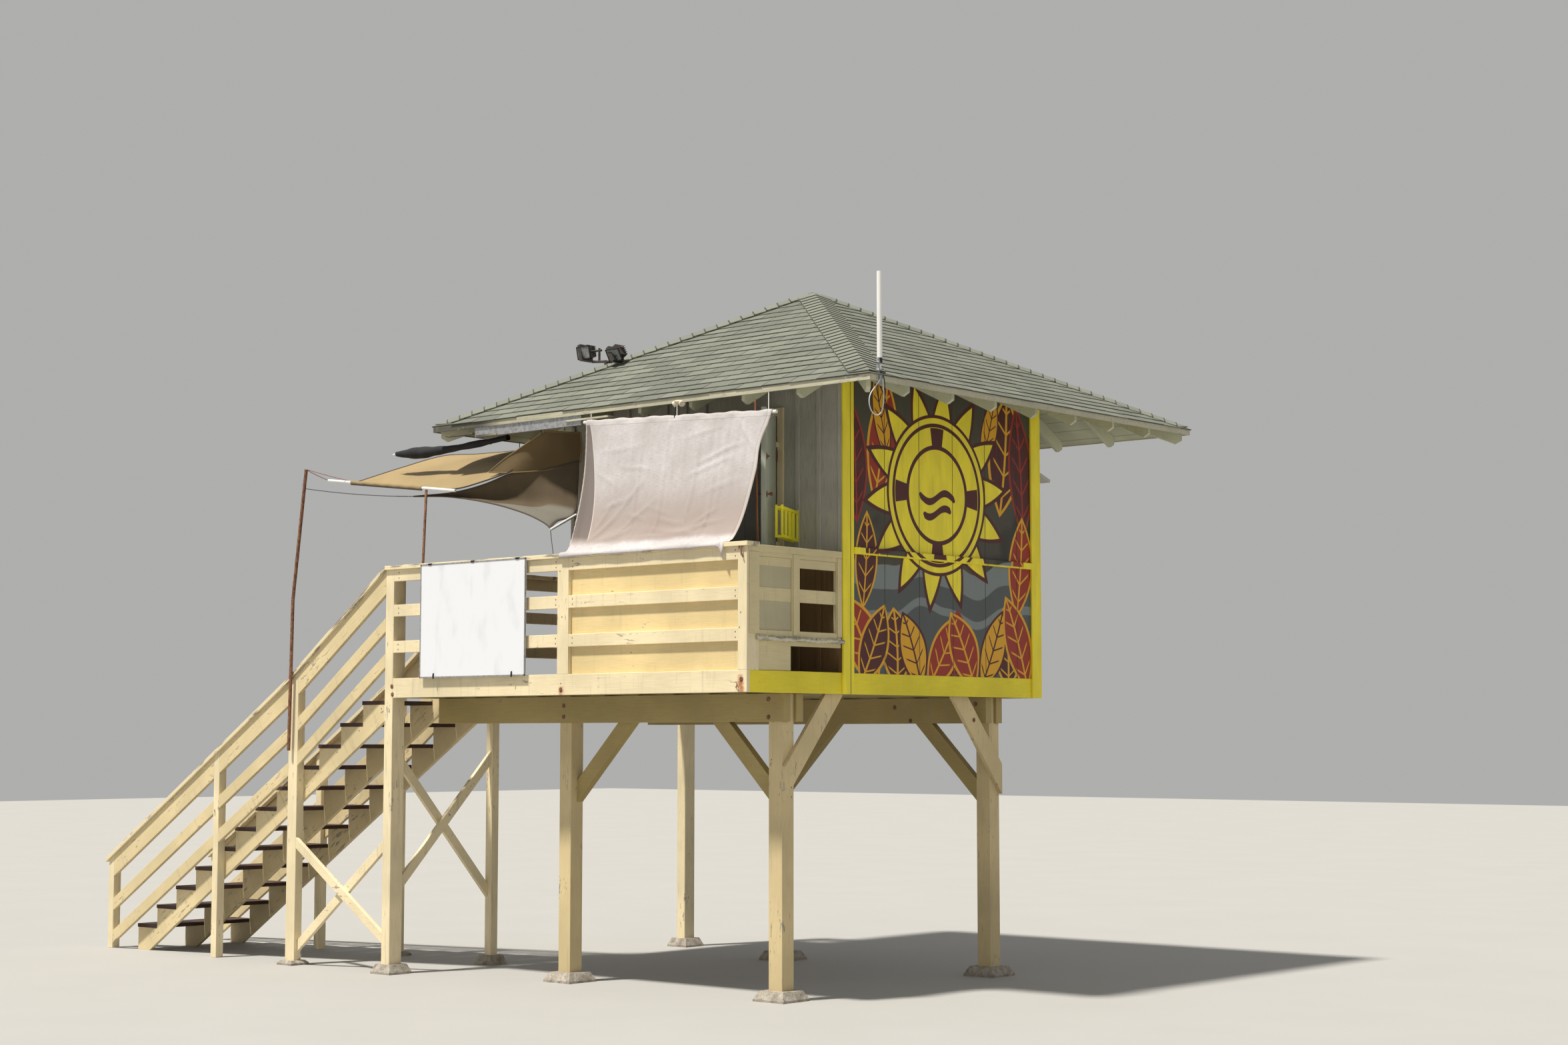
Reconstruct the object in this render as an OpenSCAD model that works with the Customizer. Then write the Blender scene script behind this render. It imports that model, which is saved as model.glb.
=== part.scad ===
/* [Deck] */
// Length of the deck along the stair
deck_l = 4600; // [4200:10:5400]
// Depth of the deck from the front rail to the back wall
deck_w = 4185; // [3900:5:4800]
// Height of the walking surface above the ground
deck_h = 2764; // [2500:1:3200]
// Thickness of the floor boards
floor_t = 38; // [30:1:50]
// Height of the rim boards
rim_h = 184; // [150:1:235]
// Thickness of the rim boards and joists
plank_t = 38; // [32:1:50]

/* [Posts and beams] */
// Side of the square main posts
post = 150; // [120:1:180]
// Width of the deck's corner posts along the stair
corner_post = 115; // [89:1:150]
// Distance from the front rim to the front posts
post_set_y = 560; // [400:5:700]
// Distance from the right rim to the right posts
post_set_x = 100; // [80:5:200]
// Gap from the right posts to the middle posts, face to face
post_bay_x = 2390; // [2000:10:2600]
// Gap from the front posts to the back posts, face to face
post_bay_y = 2800; // [2600:10:3100]
// Height of the beam planks
beam_h = 240; // [200:5:290]
// Thickness of the beam planks
beam_t = 89; // [50:1:100]
// Depth of the notch that lets a beam plank into a post
beam_notch = 75; // [40:1:80]
// How far a beam runs past the right posts
beam_over = 30; // [20:5:80]
// How far the beams stop short of the left rim
beam_short = 150; // [120:10:400]
// Height of the knee braces below the beams
brace_rise = 720; // [600:10:900]
// Height of the side braces below the rim
side_brace_rise = 900; // [700:10:1000]
// Reach of the side braces along the rim
side_brace_reach = 770; // [600:10:900]
// Width of the knee brace boards
brace_w = 140; // [100:5:184]
// Width of the side brace boards
side_brace_w = 184; // [140:4:235]
// Width of the crossed ties
tie_w = 89; // [64:1:140]
// Side of a concrete footing at the ground
foot_side = 340; // [300:10:520]
// Height of a concrete footing
foot_h = 90; // [60:5:140]

/* [Cabin] */
// Length of the cabin along the deck
cabin_l = 3370; // [3100:10:3700]
// Distance from the front rim to the front wall
porch_w = 1257; // [1100:5:1400]
// Thickness of the cabin walls
wall_t = 105; // [90:1:130]
// Width of the doorway
door_w = 765; // [700:5:800]
// Height of the doorway above the floor
door_h = 2300; // [2050:5:2350]
// Width of the front wall between doorway and right corner
jamb_l = 750; // [650:5:900]
// Thickness of the door leaf
leaf_t = 40; // [35:1:50]
// Clearance round the door leaf
leaf_gap = 8; // [6:1:15]
// How far the door stands open
door_open = 124; // [90:1:130]
// Width of the ocean window in the back wall
window_w = 2400; // [1200:10:2600]
// Height of the ocean window
window_h = 860; // [600:10:1000]
// Height of the window sill above the floor
sill_h = 1390; // [1000:10:1450]
// Angle of the window shutter below the horizontal
shutter_drop = 18; // [5:1:40]
// Width of the corner trim boards
trim_w = 150; // [90:5:180]
// Thickness of the trim boards and battens
trim_t = 20; // [12:1:28]
// Length of the slatted rack beside the door
rack_l = 560; // [400:10:600]

/* [Roof] */
// How far the eaves reach past the right and left walls
eave_side = 1000; // [700:10:1200]
// How far the front eave reaches past the front wall
eave_front = 870; // [650:10:1000]
// How far the back eave reaches past the back wall
eave_back = 1110; // [800:10:1300]
// Height of the roof edge above the floor
eave_h = 2416; // [2400:4:2700]
// Rise of the roof from edge to peak
roof_rise = 1320; // [1100:10:1600]
// Thickness of the roof boards and shingles, upright
roof_t = 45; // [30:1:60]
// Depth of the rafters
rafter_d = 120; // [90:5:150]
// Spacing of the rafters
rafter_gap = 620; // [450:10:800]
// How far the rafter tails stop short of the roof edge
tail_set = 60; // [30:5:100]
// Place of the floodlights up the hip, from corner to peak
lamp_part = 0.45; // [0.3:0.05:0.8]

/* [Railing] */
// Height of the rail cap above the floor
rail_h = 1067; // [950:1:1120]
// Thickness of the rail cap
cap_t = 38; // [30:1:50]
// Width of the rail cap
cap_w = 165; // [140:5:190]
// How far the rail cap overhangs the posts
cap_over = 25; // [10:1:40]
// Width of the rail boards
rail_w = 112; // [89:1:140]
// Height of the lower rail board above the floor
rail_low = 240; // [180:5:300]
// Height of the upper rail board above the floor
rail_high = 583; // [500:5:640]
// Height of the side frame's ledge above the floor
ledge_h = 254; // [200:2:320]

/* [Stair] */
// Number of treads
tread_n = 12; // [10:1:14]
// Height of the lowest tread above the ground
low_step = 268; // [200:1:300]
// Going of each step
going = 328; // [290:1:350]
// Gap from the deck's edge to the first step
stair_gap = 112; // [60:2:140]
// How far the treads overhang the stringers
nosing = 19; // [0:1:30]
// Width of the stair over the stringers
stair_w = 1210; // [950:10:1250]
// Thickness of the treads
tread_t = 38; // [32:1:50]
// Depth of the stringers below the tread notches
stringer_d = 126; // [110:2:180]
// Width of the wide stair post
wide_post = 140; // [115:1:150]
// Side of the other stair posts
step_post = 89; // [75:1:115]

/* [Shade and gear] */
// Width of the shade cloth at its top
cloth_w = 2256; // [1800:4:2600]
// Height of the shade cloth
cloth_h = 1205; // [1000:5:1210]
// How far the tan sail reaches past the roof edge
sail_reach = 1080; // [600:10:1200]
// Diameter of the rusty sail poles
tube_d = 34; // [26:1:48]
// Height of the tall sail pole
tall_pole = 2760; // [2400:10:3000]
// Length of the antenna
antenna_l = 780; // [500:10:1000]
// Width of the notice board
board_w = 1430; // [1000:10:1500]
// Height of the notice board
board_h = 1060; // [800:10:1100]

/* [Hidden] */

rise = (deck_h - low_step) / tread_n;
under_floor = deck_h - floor_t;
rim_low = deck_h - rim_h;
stair_start = deck_l + stair_gap;
stair_foot = stair_start + tread_n * going;
stair_pitch = rise / going;
slope = atan(stair_pitch);

// Gap left between parts that rest on each other
seat = 0.3;

// How far the front rail's middle post stands right of the deck's middle
rail_shift = 45;

// Spacing of the stair's posts from the lowest step upwards, and the handrail's overhang
foot_run = 408;
end_bay = 1804;
next_bay = 1205;
rail_over = 30;

roof_l = cabin_l + 2 * eave_side;
roof_w = (deck_w - porch_w) + eave_front + eave_back;
roof_x0 = -cabin_l - eave_side;
roof_x1 = eave_side;
roof_y0 = porch_w - eave_front;
roof_y1 = roof_y0 + roof_w;
peak_x = (roof_x0 + roof_x1) / 2;
peak_y = (roof_y0 + roof_y1) / 2;
eave_z = deck_h + eave_h;
pitch_side = roof_rise / (roof_l / 2);
pitch_end = roof_rise / (roof_w / 2);
edge_h = 52;
edge_t = 14;

pole_y = -cap_over - seat - tube_d / 2;
corner_pad = foot_side * 0.8;
small_pad = foot_side * 0.65;
front_y = min(pole_y - tube_d / 2, step_post / 2 - small_pad / 2, post / 2 - corner_pad / 2);
back_y = roof_y1 + edge_t;
right_x = roof_x1 + edge_t;
shift_y = -(front_y + back_y) / 2;

right_post_x = -post_set_x - post;
middle_post_x = right_post_x - post_bay_x - post;
front_post_y = post_set_y;
back_post_y = post_set_y + post + post_bay_y;
corner_x = -deck_l;
near_y = step_post + seat;
far_y = near_y + stair_w + seat;
rail_top = deck_h + rail_h;
mid_rail_x = -deck_l / 2 + rail_shift;
end_post_x = -stair_foot - foot_run;
third_post_x = end_post_x + end_bay;
wide_post_x = third_post_x + next_bay;
handrail_end = end_post_x - rail_over;
shift_x = (-handrail_end - right_x) / 2;

// Height of the roof boards' underside above a place at distance d from the eave
function side_under(d) = eave_z + pitch_side * d - roof_t;
function end_under(d) = eave_z + pitch_end * d - roof_t;

// Upright depth of a rafter, and how far the rafters are notched over the walls
rafter_up = rafter_d / cos(atan(max(pitch_side, pitch_end)));
bite = 30;
trim_drop = 25;
plate_side = side_under(eave_side) - rafter_up + bite;
plate_front = end_under(eave_front) - rafter_up + bite;
plate_back = min(end_under(eave_back) - rafter_up + bite, side_under(eave_side) - 5);

// A box from its lowest corner
module block(x, y, z, size) {
    translate([x, y, z]) cube(size);
}

// Moves a piece from the deck's own frame to the shared frame
module placed() {
    translate([shift_x, shift_y, 0]) children();
}

// An upright board outline, given in x and z, with its thickness along y
module profile_y(y, t) {
    translate([0, y + t, 0]) rotate([90, 0, 0]) linear_extrude(t) children();
}

// An upright board outline, given in y and z, with its thickness along x
module profile_x(x, t) {
    translate([x, 0, 0]) rotate([90, 0, 90]) linear_extrude(t) children();
}

// A slanted board outline with upright end cuts
module tie(x0, z0, x1, z1, w) {
    up = w / cos(atan((z1 - z0) / (x1 - x0)));
    polygon([[x0, z0], [x0, z0 + up], [x1, z1 + up], [x1, z1]]);
}

// A round bar from one point to another
module rod(p, q, d) {
    v = q - p;
    translate(p) rotate([0, acos(v[2] / norm(v)), atan2(v[1], v[0])]) cylinder(d = d, h = norm(v), $fn = 16);
}

// A thin cloth: a fan of flat facets from a middle point to its rim points, its thickness given as a step
module cloth(rim, mid, by) {
    n = len(rim);
    polyhedron(
        points = concat([mid], rim, [mid + by], [for (p = rim) p + by]),
        faces = concat(
            [for (i = [0 : n - 1]) [0, 1 + (i + 1) % n, 1 + i]],
            [for (i = [0 : n - 1]) [n + 1, n + 2 + i, n + 2 + (i + 1) % n]],
            [for (i = [0 : n - 1]) [1 + i, 1 + (i + 1) % n, n + 2 + (i + 1) % n, n + 2 + i]]));
}

// A concrete footing with a socket for its post
module pad(x, y, side, h, hole_x, hole_y) {
    head = side * 0.76;
    difference() {
        translate([x, y, 0]) hull() {
            block(-side / 2, -side / 2, 0, [side, side, 20]);
            block(-head / 2, -head / 2, h - 10, [head, head, 10]);
        }
        block(x - hole_x / 2, y - hole_y / 2, h / 2, [hole_x, hole_y, h]);
    }
}

module footings() {
    color("gray") placed() {
        for (x = [right_post_x, middle_post_x], y = [front_post_y, back_post_y])
            pad(x + post / 2, y + post / 2, foot_side, foot_h, post, post);
        for (y = [post / 2, deck_w - post / 2])
            pad(corner_x + corner_post / 2, y, corner_pad, foot_h, corner_post, post);
        pad(corner_x + step_post / 2, far_y + step_post / 2, small_pad, foot_h, step_post, step_post);
        for (y = [0, far_y])
            pad(wide_post_x + wide_post / 2, y + step_post / 2, small_pad, foot_h / 2, wide_post, step_post);
    }
}

// A square post notched at its head, on the front or the back, for one beam plank
module main_post(x, y, notch_back) {
    color("khaki") placed() difference() {
        block(x, y, foot_h / 2, [post, post, rim_low - foot_h / 2]);
        translate([0, notch_back ? post - beam_notch : -1, 0])
            block(x - 1, y, rim_low - beam_h, [post + 2, beam_notch + 1, beam_h + 1]);
    }
}

module post_front_right() { main_post(right_post_x, front_post_y, false); }
module post_back_right() { main_post(right_post_x, back_post_y, true); }
module post_front_middle() { main_post(middle_post_x, front_post_y, false); }
module post_back_middle() { main_post(middle_post_x, back_post_y, true); }

module corner_posts() {
    color("khaki") placed() {
        for (y = [0, deck_w - post])
            block(corner_x, y, foot_h / 2, [corner_post, post, rail_top - cap_t - foot_h / 2]);
        block(corner_x, far_y, foot_h / 2, [step_post, step_post, rail_top - cap_t - foot_h / 2]);
    }
}

// Two beam planks, one let into the posts and one lapped on them
module beam_pair(y_notch, y_lap) {
    color("khaki") placed() for (y = [y_notch, y_lap])
        block(-deck_l + beam_short, y, rim_low - beam_h,
            [deck_l - beam_short - post_set_x + beam_over, beam_t, beam_h]);
}

module beam_front() { beam_pair(front_post_y + beam_notch - beam_t, front_post_y + post); }
module beam_back() { beam_pair(back_post_y + post - beam_notch, back_post_y - beam_t); }

// A brace under the right rim, from a post's foot end at y0 up to y1
module side_brace(y0, y1) {
    profile_x(right_post_x + post, plank_t) intersection() {
        tie(y0, rim_low - side_brace_rise, y1, rim_low, side_brace_w);
        translate([0, rim_low - side_brace_rise]) square([deck_w, side_brace_rise]);
    }
}

module braces_across() {
    color("khaki") placed() {
        side_brace(front_post_y, front_post_y + side_brace_reach);
        side_brace(back_post_y + post, back_post_y + post - side_brace_reach);
    }
}

// A knee brace from a post's side up between the two beam planks
module knee(x, way) {
    top = rim_low - beam_h + brace_w;
    intersection() {
        tie(x, rim_low - beam_h - brace_rise, x + way * (brace_rise + brace_w), top, brace_w);
        translate([x - brace_rise * 2, 0]) square([brace_rise * 4, top]);
    }
}

module braces_along() {
    slot = post - beam_notch - 2 * seat;
    color("khaki") placed() for (y = [front_post_y + beam_notch + seat, back_post_y + seat]) {
        profile_y(y, slot) knee(right_post_x, -1);
        profile_y(y, slot) knee(middle_post_x + post, 1);
    }
}

joist_n = 10;
joist_gap = 45;
joist_x0 = -deck_l + plank_t + corner_post + joist_gap;
joist_step = (deck_l - post_set_x - (deck_l + joist_x0)) / joist_n;

module joists() {
    color("khaki") placed() for (i = [0 : joist_n])
        block(joist_x0 + i * joist_step, plank_t, rim_low,
            [plank_t, deck_w - 2 * plank_t, under_floor - rim_low]);
}

module rim_front() {
    color("khaki") placed() block(corner_x + corner_post, 0, rim_low, [deck_l - corner_post, plank_t, rim_h]);
}

module rim_right() {
    color("gold") placed() block(-plank_t, plank_t, rim_low, [plank_t, deck_w - plank_t, rim_h]);
}

module rim_back_left() {
    color("khaki") placed() {
        block(corner_x + corner_post, deck_w - plank_t, rim_low,
            [deck_l - plank_t - corner_post, plank_t, rim_h]);
        block(-deck_l, post, rim_low, [plank_t, far_y - post, rim_h]);
        block(-deck_l, far_y + step_post, rim_low, [plank_t, deck_w - post - far_y - step_post, rim_h]);
    }
}

module floor() {
    color("tan") placed() difference() {
        block(-deck_l + plank_t, plank_t, under_floor, [deck_l - 2 * plank_t, deck_w - 2 * plank_t, floor_t]);
        for (y = [0, deck_w - post])
            block(corner_x - 1, y, under_floor - 1, [corner_post + 1, post, floor_t + 2]);
        block(corner_x, far_y, under_floor - 1, [step_post, step_post, floor_t + 2]);
    }
}

// An upright wall slab from the floor to a height
module wall_slab(x, y, sx, sy, top) {
    block(x, y, deck_h, [sx, sy, top - deck_h]);
}

front_wall_y = porch_w;
back_wall_y = deck_w;
door_x1 = -jamb_l;
door_x0 = -jamb_l - door_w;
side_wall_l = back_wall_y - front_wall_y - 2 * wall_t;

module wall_right() {
    color("gold") placed() wall_slab(-wall_t, front_wall_y + wall_t, wall_t, side_wall_l, plate_side);
}

module wall_left() {
    color("lightgray") placed() wall_slab(-cabin_l, front_wall_y + wall_t, wall_t, side_wall_l, plate_side);
}

module wall_front_right() {
    color("lightgray") placed() wall_slab(door_x1, front_wall_y, jamb_l, wall_t, plate_front);
}

module wall_front_left() {
    color("lightgray") placed() wall_slab(-cabin_l, front_wall_y, door_x0 + cabin_l, wall_t, plate_front);
}

module wall_over_door() {
    color("lightgray") placed()
        block(door_x0, front_wall_y, deck_h + door_h, [door_w, wall_t, plate_front - deck_h - door_h]);
}

window_x0 = -cabin_l / 2 - window_w / 2;

module wall_back() {
    color("lightgray") placed() difference() {
        wall_slab(-cabin_l, back_wall_y - wall_t, cabin_l, wall_t, plate_back);
        block(window_x0, back_wall_y - wall_t - 1, deck_h + sill_h, [window_w, wall_t + 2, window_h]);
    }
}

// The right wall's corner boards run a little past it, and a band lies between them
trim_y0 = front_wall_y - 26;
trim_y1 = back_wall_y + 18;
band_h = 60;
band_out = 12;

module wall_trims() {
    top = plate_side - bite - trim_drop;
    color("gold") placed() {
        for (y = [trim_y0, trim_y1 - trim_w]) block(0, y, rim_low, [trim_t, trim_w, top - rim_low]);
        block(0, trim_y0 + trim_w + seat, rail_top - band_h / 2,
            [trim_t + band_out, trim_y1 - trim_y0 - 2 * (trim_w + seat), band_h]);
    }
}

batten_w = 45;
batten_gap = 245;
door_clear = 130;

// Battens over the board joints of the front wall and the left wall
module wall_battens() {
    front_top = plate_front - bite - trim_drop;
    side_top = plate_side - bite - trim_drop;
    color("lightgray") placed() {
        for (x = [-batten_w - 2 : -batten_gap : door_x1 + door_clear / 2])
            block(x, front_wall_y - trim_t, deck_h, [batten_w, trim_t, front_top - deck_h]);
        for (x = [-cabin_l : batten_gap : door_x0 - door_clear])
            block(x, front_wall_y - trim_t, deck_h, [batten_w, trim_t, front_top - deck_h]);
        for (y = [front_wall_y : batten_gap * 2 : back_wall_y - cap_w - batten_w])
            block(-cabin_l - trim_t, y, deck_h, [trim_t, batten_w, side_top - deck_h]);
    }
}

// Door leaf, hinged at the right jamb
hinge_x = door_x1 - leaf_gap;
hinge_y = front_wall_y - trim_t - leaf_t / 2 - 6;
barrel_r = 9;
barrel_h = 100;
hinge_zs = [180, door_h / 2, door_h - 260];
leaf_z = deck_h + leaf_gap + 12;
hinge_side = 30;

module door_leaf() {
    color("silver") placed() translate([hinge_x, hinge_y, leaf_z]) rotate([0, 0, door_open]) leaf_closed();
}

// The door leaf as it lies when shut, with its hinge line at the origin
module leaf_closed() {
    block(-door_w + 2 * leaf_gap, -leaf_t / 2, 0,
        [door_w - 2 * leaf_gap - hinge_side, leaf_t, door_h - 40]);
    for (z = hinge_zs) translate([0, 0, z]) {
        cylinder(r = barrel_r, h = barrel_h);
        block(-2 * hinge_side, -4, 0, [2 * hinge_side, 8, barrel_h]);
    }
}

module door_frame() {
    jamb = 70;
    knuckle = 40;
    face_y = front_wall_y - trim_t;
    color("khaki") placed() {
        for (x = [door_x0 - jamb, door_x1]) block(x, face_y, deck_h, [jamb, trim_t, door_h]);
        block(door_x0 - jamb, face_y, deck_h + door_h + seat, [door_w + 2 * jamb, trim_t, jamb]);
        for (z = hinge_zs) difference() {
            block(hinge_x + 3, hinge_y - 12, leaf_z + z - knuckle - seat,
                [hinge_side, face_y - hinge_y + 12, knuckle]);
            translate([hinge_x, hinge_y, deck_h]) cylinder(r = barrel_r + seat, h = door_h);
        }
    }
}

shutter_t = 30;
shutter_x0 = window_x0 - 40;
shutter_z = deck_h + sill_h + window_h + 25;
shutter_l = window_h + 40;
prop_w = 25;

// A place on the open shutter's underside, in y and z, at distance u from its top edge
function shutter_low(u, gap) = [
    back_wall_y + u * cos(shutter_drop) - (shutter_t / 2 + gap) * sin(shutter_drop),
    shutter_z - u * sin(shutter_drop) - (shutter_t / 2 + gap) * cos(shutter_drop)];

module window_shutter() {
    off = (seat + shutter_t / 2 * sin(shutter_drop)) / cos(shutter_drop);
    color("lightgray") placed() translate([shutter_x0, back_wall_y, shutter_z])
        rotate([-shutter_drop, 0, 0]) block(0, off, -shutter_t / 2, [window_w + 80, shutter_l, shutter_t]);
}

module shutter_props() {
    low = deck_h + sill_h + 120;
    color("silver") placed() for (x = [window_x0 - prop_w - 5, window_x0 + window_w + 5])
        profile_x(x, prop_w) polygon([
            [back_wall_y, low], [back_wall_y, low + 40],
            shutter_low(shutter_l * 0.72, seat), shutter_low(shutter_l * 0.77, seat)]);
}

// One roof slope: the prism under the pyramid's surface over the triangle from two eave corners to the peak
module slope_slab(a, b, drop, t) {
    low = eave_z - drop;
    high = low + roof_rise;
    polyhedron(
        points = [
            [a[0], a[1], low - t], [b[0], b[1], low - t], [peak_x, peak_y, high - t],
            [a[0], a[1], low], [b[0], b[1], low], [peak_x, peak_y, high]],
        faces = [[0, 1, 2], [5, 4, 3], [0, 3, 4, 1], [1, 4, 5, 2], [2, 5, 3, 0]]);
}

corners = [[roof_x0, roof_y0], [roof_x1, roof_y0], [roof_x1, roof_y1], [roof_x0, roof_y1]];

module roof_slope(i) {
    color("dimgray") placed() slope_slab(corners[i], corners[(i + 1) % 4], 0, roof_t);
}

module roof_front() { roof_slope(0); }
module roof_right() { roof_slope(1); }
module roof_back() { roof_slope(2); }
module roof_left() { roof_slope(3); }

ridge_w = 250;
ridge_t = 14;

// How far a hip rafter is set down so that its top corners stay under both slopes
hip_drop = plank_t / 2 * max(pitch_side, pitch_end) + 1;

// A hip line's run over the ground, and its turn from a corner towards the peak
hip_run = sqrt(pow(roof_l / 2, 2) + pow(roof_w / 2, 2));
hip_pitch = roof_rise / hip_run;
function hip_turn(c) = atan2(peak_y - c[1], peak_x - c[0]);

module hip_caps() {
    color("dimgray") placed() for (i = [0 : 3]) {
        c = corners[i];
        intersection() {
            union() {
                slope_slab(c, corners[(i + 1) % 4], -ridge_t, ridge_t);
                slope_slab(corners[(i + 3) % 4], c, -ridge_t, ridge_t);
            }
            translate([c[0], c[1], eave_z - 10]) rotate([0, 0, hip_turn(c)])
                block(20, -ridge_w / 2, 0, [hip_run - 20 - ridge_w * 0.6, ridge_w, roof_rise + 100]);
        }
    }
}

// A rafter seen from its side, running in from the eave, its tail rounded underneath
module rafter_side(run, pitch) {
    top = -roof_t - seat;
    up = rafter_d / cos(atan(pitch));
    difference() {
        polygon([
            [tail_set, pitch * tail_set + top - rafter_d * 0.6], [tail_set, pitch * tail_set + top],
            [run, pitch * run + top], [run, pitch * run + top - up],
            [tail_set + 60, pitch * (tail_set + 60) + top - up]]);
        translate([tail_set + 20, pitch * tail_set + top - rafter_d * 1.15]) circle(r = 45, $fn = 24);
    }
}

// A rafter set at its place on the eave and turned to run in from there
module rafter_at(place, turn, run, pitch) {
    translate(place) rotate([0, 0, turn]) rotate([90, 0, 0])
        translate([0, 0, -plank_t / 2]) linear_extrude(plank_t) rafter_side(run, pitch);
}

// The walls' upper stretch, which the rafters are notched over
module wall_heads() {
    head = 300;
    for (x = [-wall_t, -cabin_l])
        block(x, front_wall_y, plate_side - head, [wall_t, back_wall_y - front_wall_y, head]);
    block(-cabin_l, front_wall_y, plate_front - head, [cabin_l, wall_t, head]);
    block(-cabin_l, back_wall_y - wall_t, plate_back - head, [cabin_l, wall_t, head]);
}

// Rafters on each side of the middle one, the shortest not under this length, all short of the hips
short_run = 300;
hip_clear = 60;
side_n = floor((roof_w / 2 - short_run) / rafter_gap);
end_n = floor((roof_l / 2 - short_run) / rafter_gap);

module rafters() {
    color("khaki") placed() difference() {
        union() {
            for (i = [-side_n : side_n]) {
                run = (roof_l / 2) * (1 - abs(i) * rafter_gap / (roof_w / 2)) - hip_clear;
                rafter_at([roof_x1, peak_y + i * rafter_gap, eave_z], 180, run, pitch_side);
                rafter_at([roof_x0, peak_y + i * rafter_gap, eave_z], 0, run, pitch_side);
            }
            for (i = [-end_n : end_n]) {
                run = (roof_w / 2) * (1 - abs(i) * rafter_gap / (roof_l / 2)) - hip_clear;
                rafter_at([peak_x + i * rafter_gap, roof_y0, eave_z], 90, run, pitch_end);
                rafter_at([peak_x + i * rafter_gap, roof_y1, eave_z], -90, run, pitch_end);
            }
            for (c = corners)
                rafter_at([c[0], c[1], eave_z - hip_drop], hip_turn(c), hip_run - 40, hip_pitch);
        }
        wall_heads();
    }
}

module eave_edge() {
    color("cornsilk") placed() {
        for (y = [roof_y0 - edge_t, roof_y1])
            block(roof_x0 + seat, y, eave_z - edge_h, [roof_l - 2 * seat, edge_t, edge_h]);
        for (x = [roof_x0 - edge_t, roof_x1])
            block(x, roof_y0 - edge_t, eave_z - edge_h, [edge_t, roof_w + 2 * edge_t, edge_h]);
    }
}

channel_d = 45;
channel_h = 90;
channel_x0 = roof_x0 + 570;
channel_gap = 80;

// Left end of the shade cloth
cloth_x0 = mid_rail_x - 35;

// Metal channel that patches the eave over the stair
module eave_channel() {
    skin = 3;
    top = eave_z - edge_h - seat;
    low = top - channel_h;
    inner = roof_y0 + channel_d;
    color("lightgray") placed() profile_x(channel_x0, cloth_x0 - channel_gap - channel_x0) polygon([
        [roof_y0, top], [roof_y0, low], [inner, low], [inner, low + skin],
        [roof_y0 + skin, low + skin], [roof_y0 + skin, top - skin], [inner, top - skin], [inner, top]]);
}

rail_mid_w = 140;
rail_end_w = 100;

module rail_posts() {
    h = rail_h - cap_t;
    color("khaki") placed() {
        block(-rail_end_w, 0, deck_h, [rail_end_w, post, h]);
        block(mid_rail_x, 0, deck_h, [rail_mid_w, step_post, h]);
        block(-deck_l, (far_y + deck_w) / 2, deck_h, [step_post, step_post, h]);
    }
}

module rail_cap() {
    z = rail_top - cap_t;
    back_y0 = deck_w + cap_over - cap_w;
    color("tan") placed() {
        block(corner_x, -cap_over, z, [deck_l + cap_over, cap_w, cap_t]);
        block(corner_x, far_y + step_post + cap_over - cap_w, z, [cap_w - cap_over, cap_w, cap_t]);
        block(corner_x - cap_over, far_y + step_post + cap_over + seat, z,
            [cap_w, back_y0 - far_y - step_post - cap_over - 2 * seat, cap_t]);
        block(corner_x - cap_over, back_y0, z, [deck_l + cap_over - cabin_l - seat, cap_w, cap_t]);
    }
}

module rail_boards() {
    side_mid = (far_y + deck_w) / 2;
    color("khaki") placed() for (z = [deck_h + rail_low, deck_h + rail_high, rail_top - cap_t - rail_w]) {
        for (run = [[corner_x + corner_post, mid_rail_x], [mid_rail_x + rail_mid_w, -rail_end_w]])
            block(run[0], 0, z, [run[1] - run[0], plank_t, rail_w]);
        for (run = [[far_y + step_post, side_mid], [side_mid + step_post, deck_w - post]])
            block(corner_x, run[0], z, [plank_t, run[1] - run[0], rail_w]);
        block(corner_x + corner_post, deck_w - plank_t, z,
            [deck_l - corner_post - cabin_l, plank_t, rail_w]);
    }
}

// The right side's frame: a ledge, a top rail and two stiles, with an infill panel in its first bay
ledge_z = deck_h + ledge_h;
ledge_t = 83;
frame_y1 = front_wall_y - 30;
frame_top = rail_top - 21;
stile_y = 573;
stile_w = 104;
end_stile_w = 63;
top_rail_w = 95;
panel_t = 12;

module infill_panels() {
    bay_x = mid_rail_x + rail_mid_w;
    color("khaki") placed() {
        block(bay_x, plank_t, deck_h, [-rail_end_w - bay_x, panel_t, rail_h - cap_t]);
        block(-plank_t / 2 - panel_t / 2, post, ledge_z + ledge_t,
            [panel_t, stile_y - post, frame_top - top_rail_w - ledge_z - ledge_t]);
    }
}

module side_frame() {
    z0 = ledge_z + ledge_t;
    h = frame_top - top_rail_w - z0;
    color("khaki") placed() difference() {
        block(-plank_t, post, ledge_z, [plank_t, frame_y1 - post, frame_top - ledge_z]);
        block(-plank_t - 1, post - 1, z0, [plank_t + 2, stile_y - post + 1, h]);
        block(-plank_t - 1, stile_y + stile_w, z0,
            [plank_t + 2, frame_y1 - end_stile_w - stile_y - stile_w, h]);
    }
}

stringer_drop = stringer_d / cos(slope);

// Height of a stringer's lower edge at a place along the stair
function stringer_low(x) =
    deck_h - rise - tread_t - stringer_drop + (x + stair_start - nosing) * stair_pitch;

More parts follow.
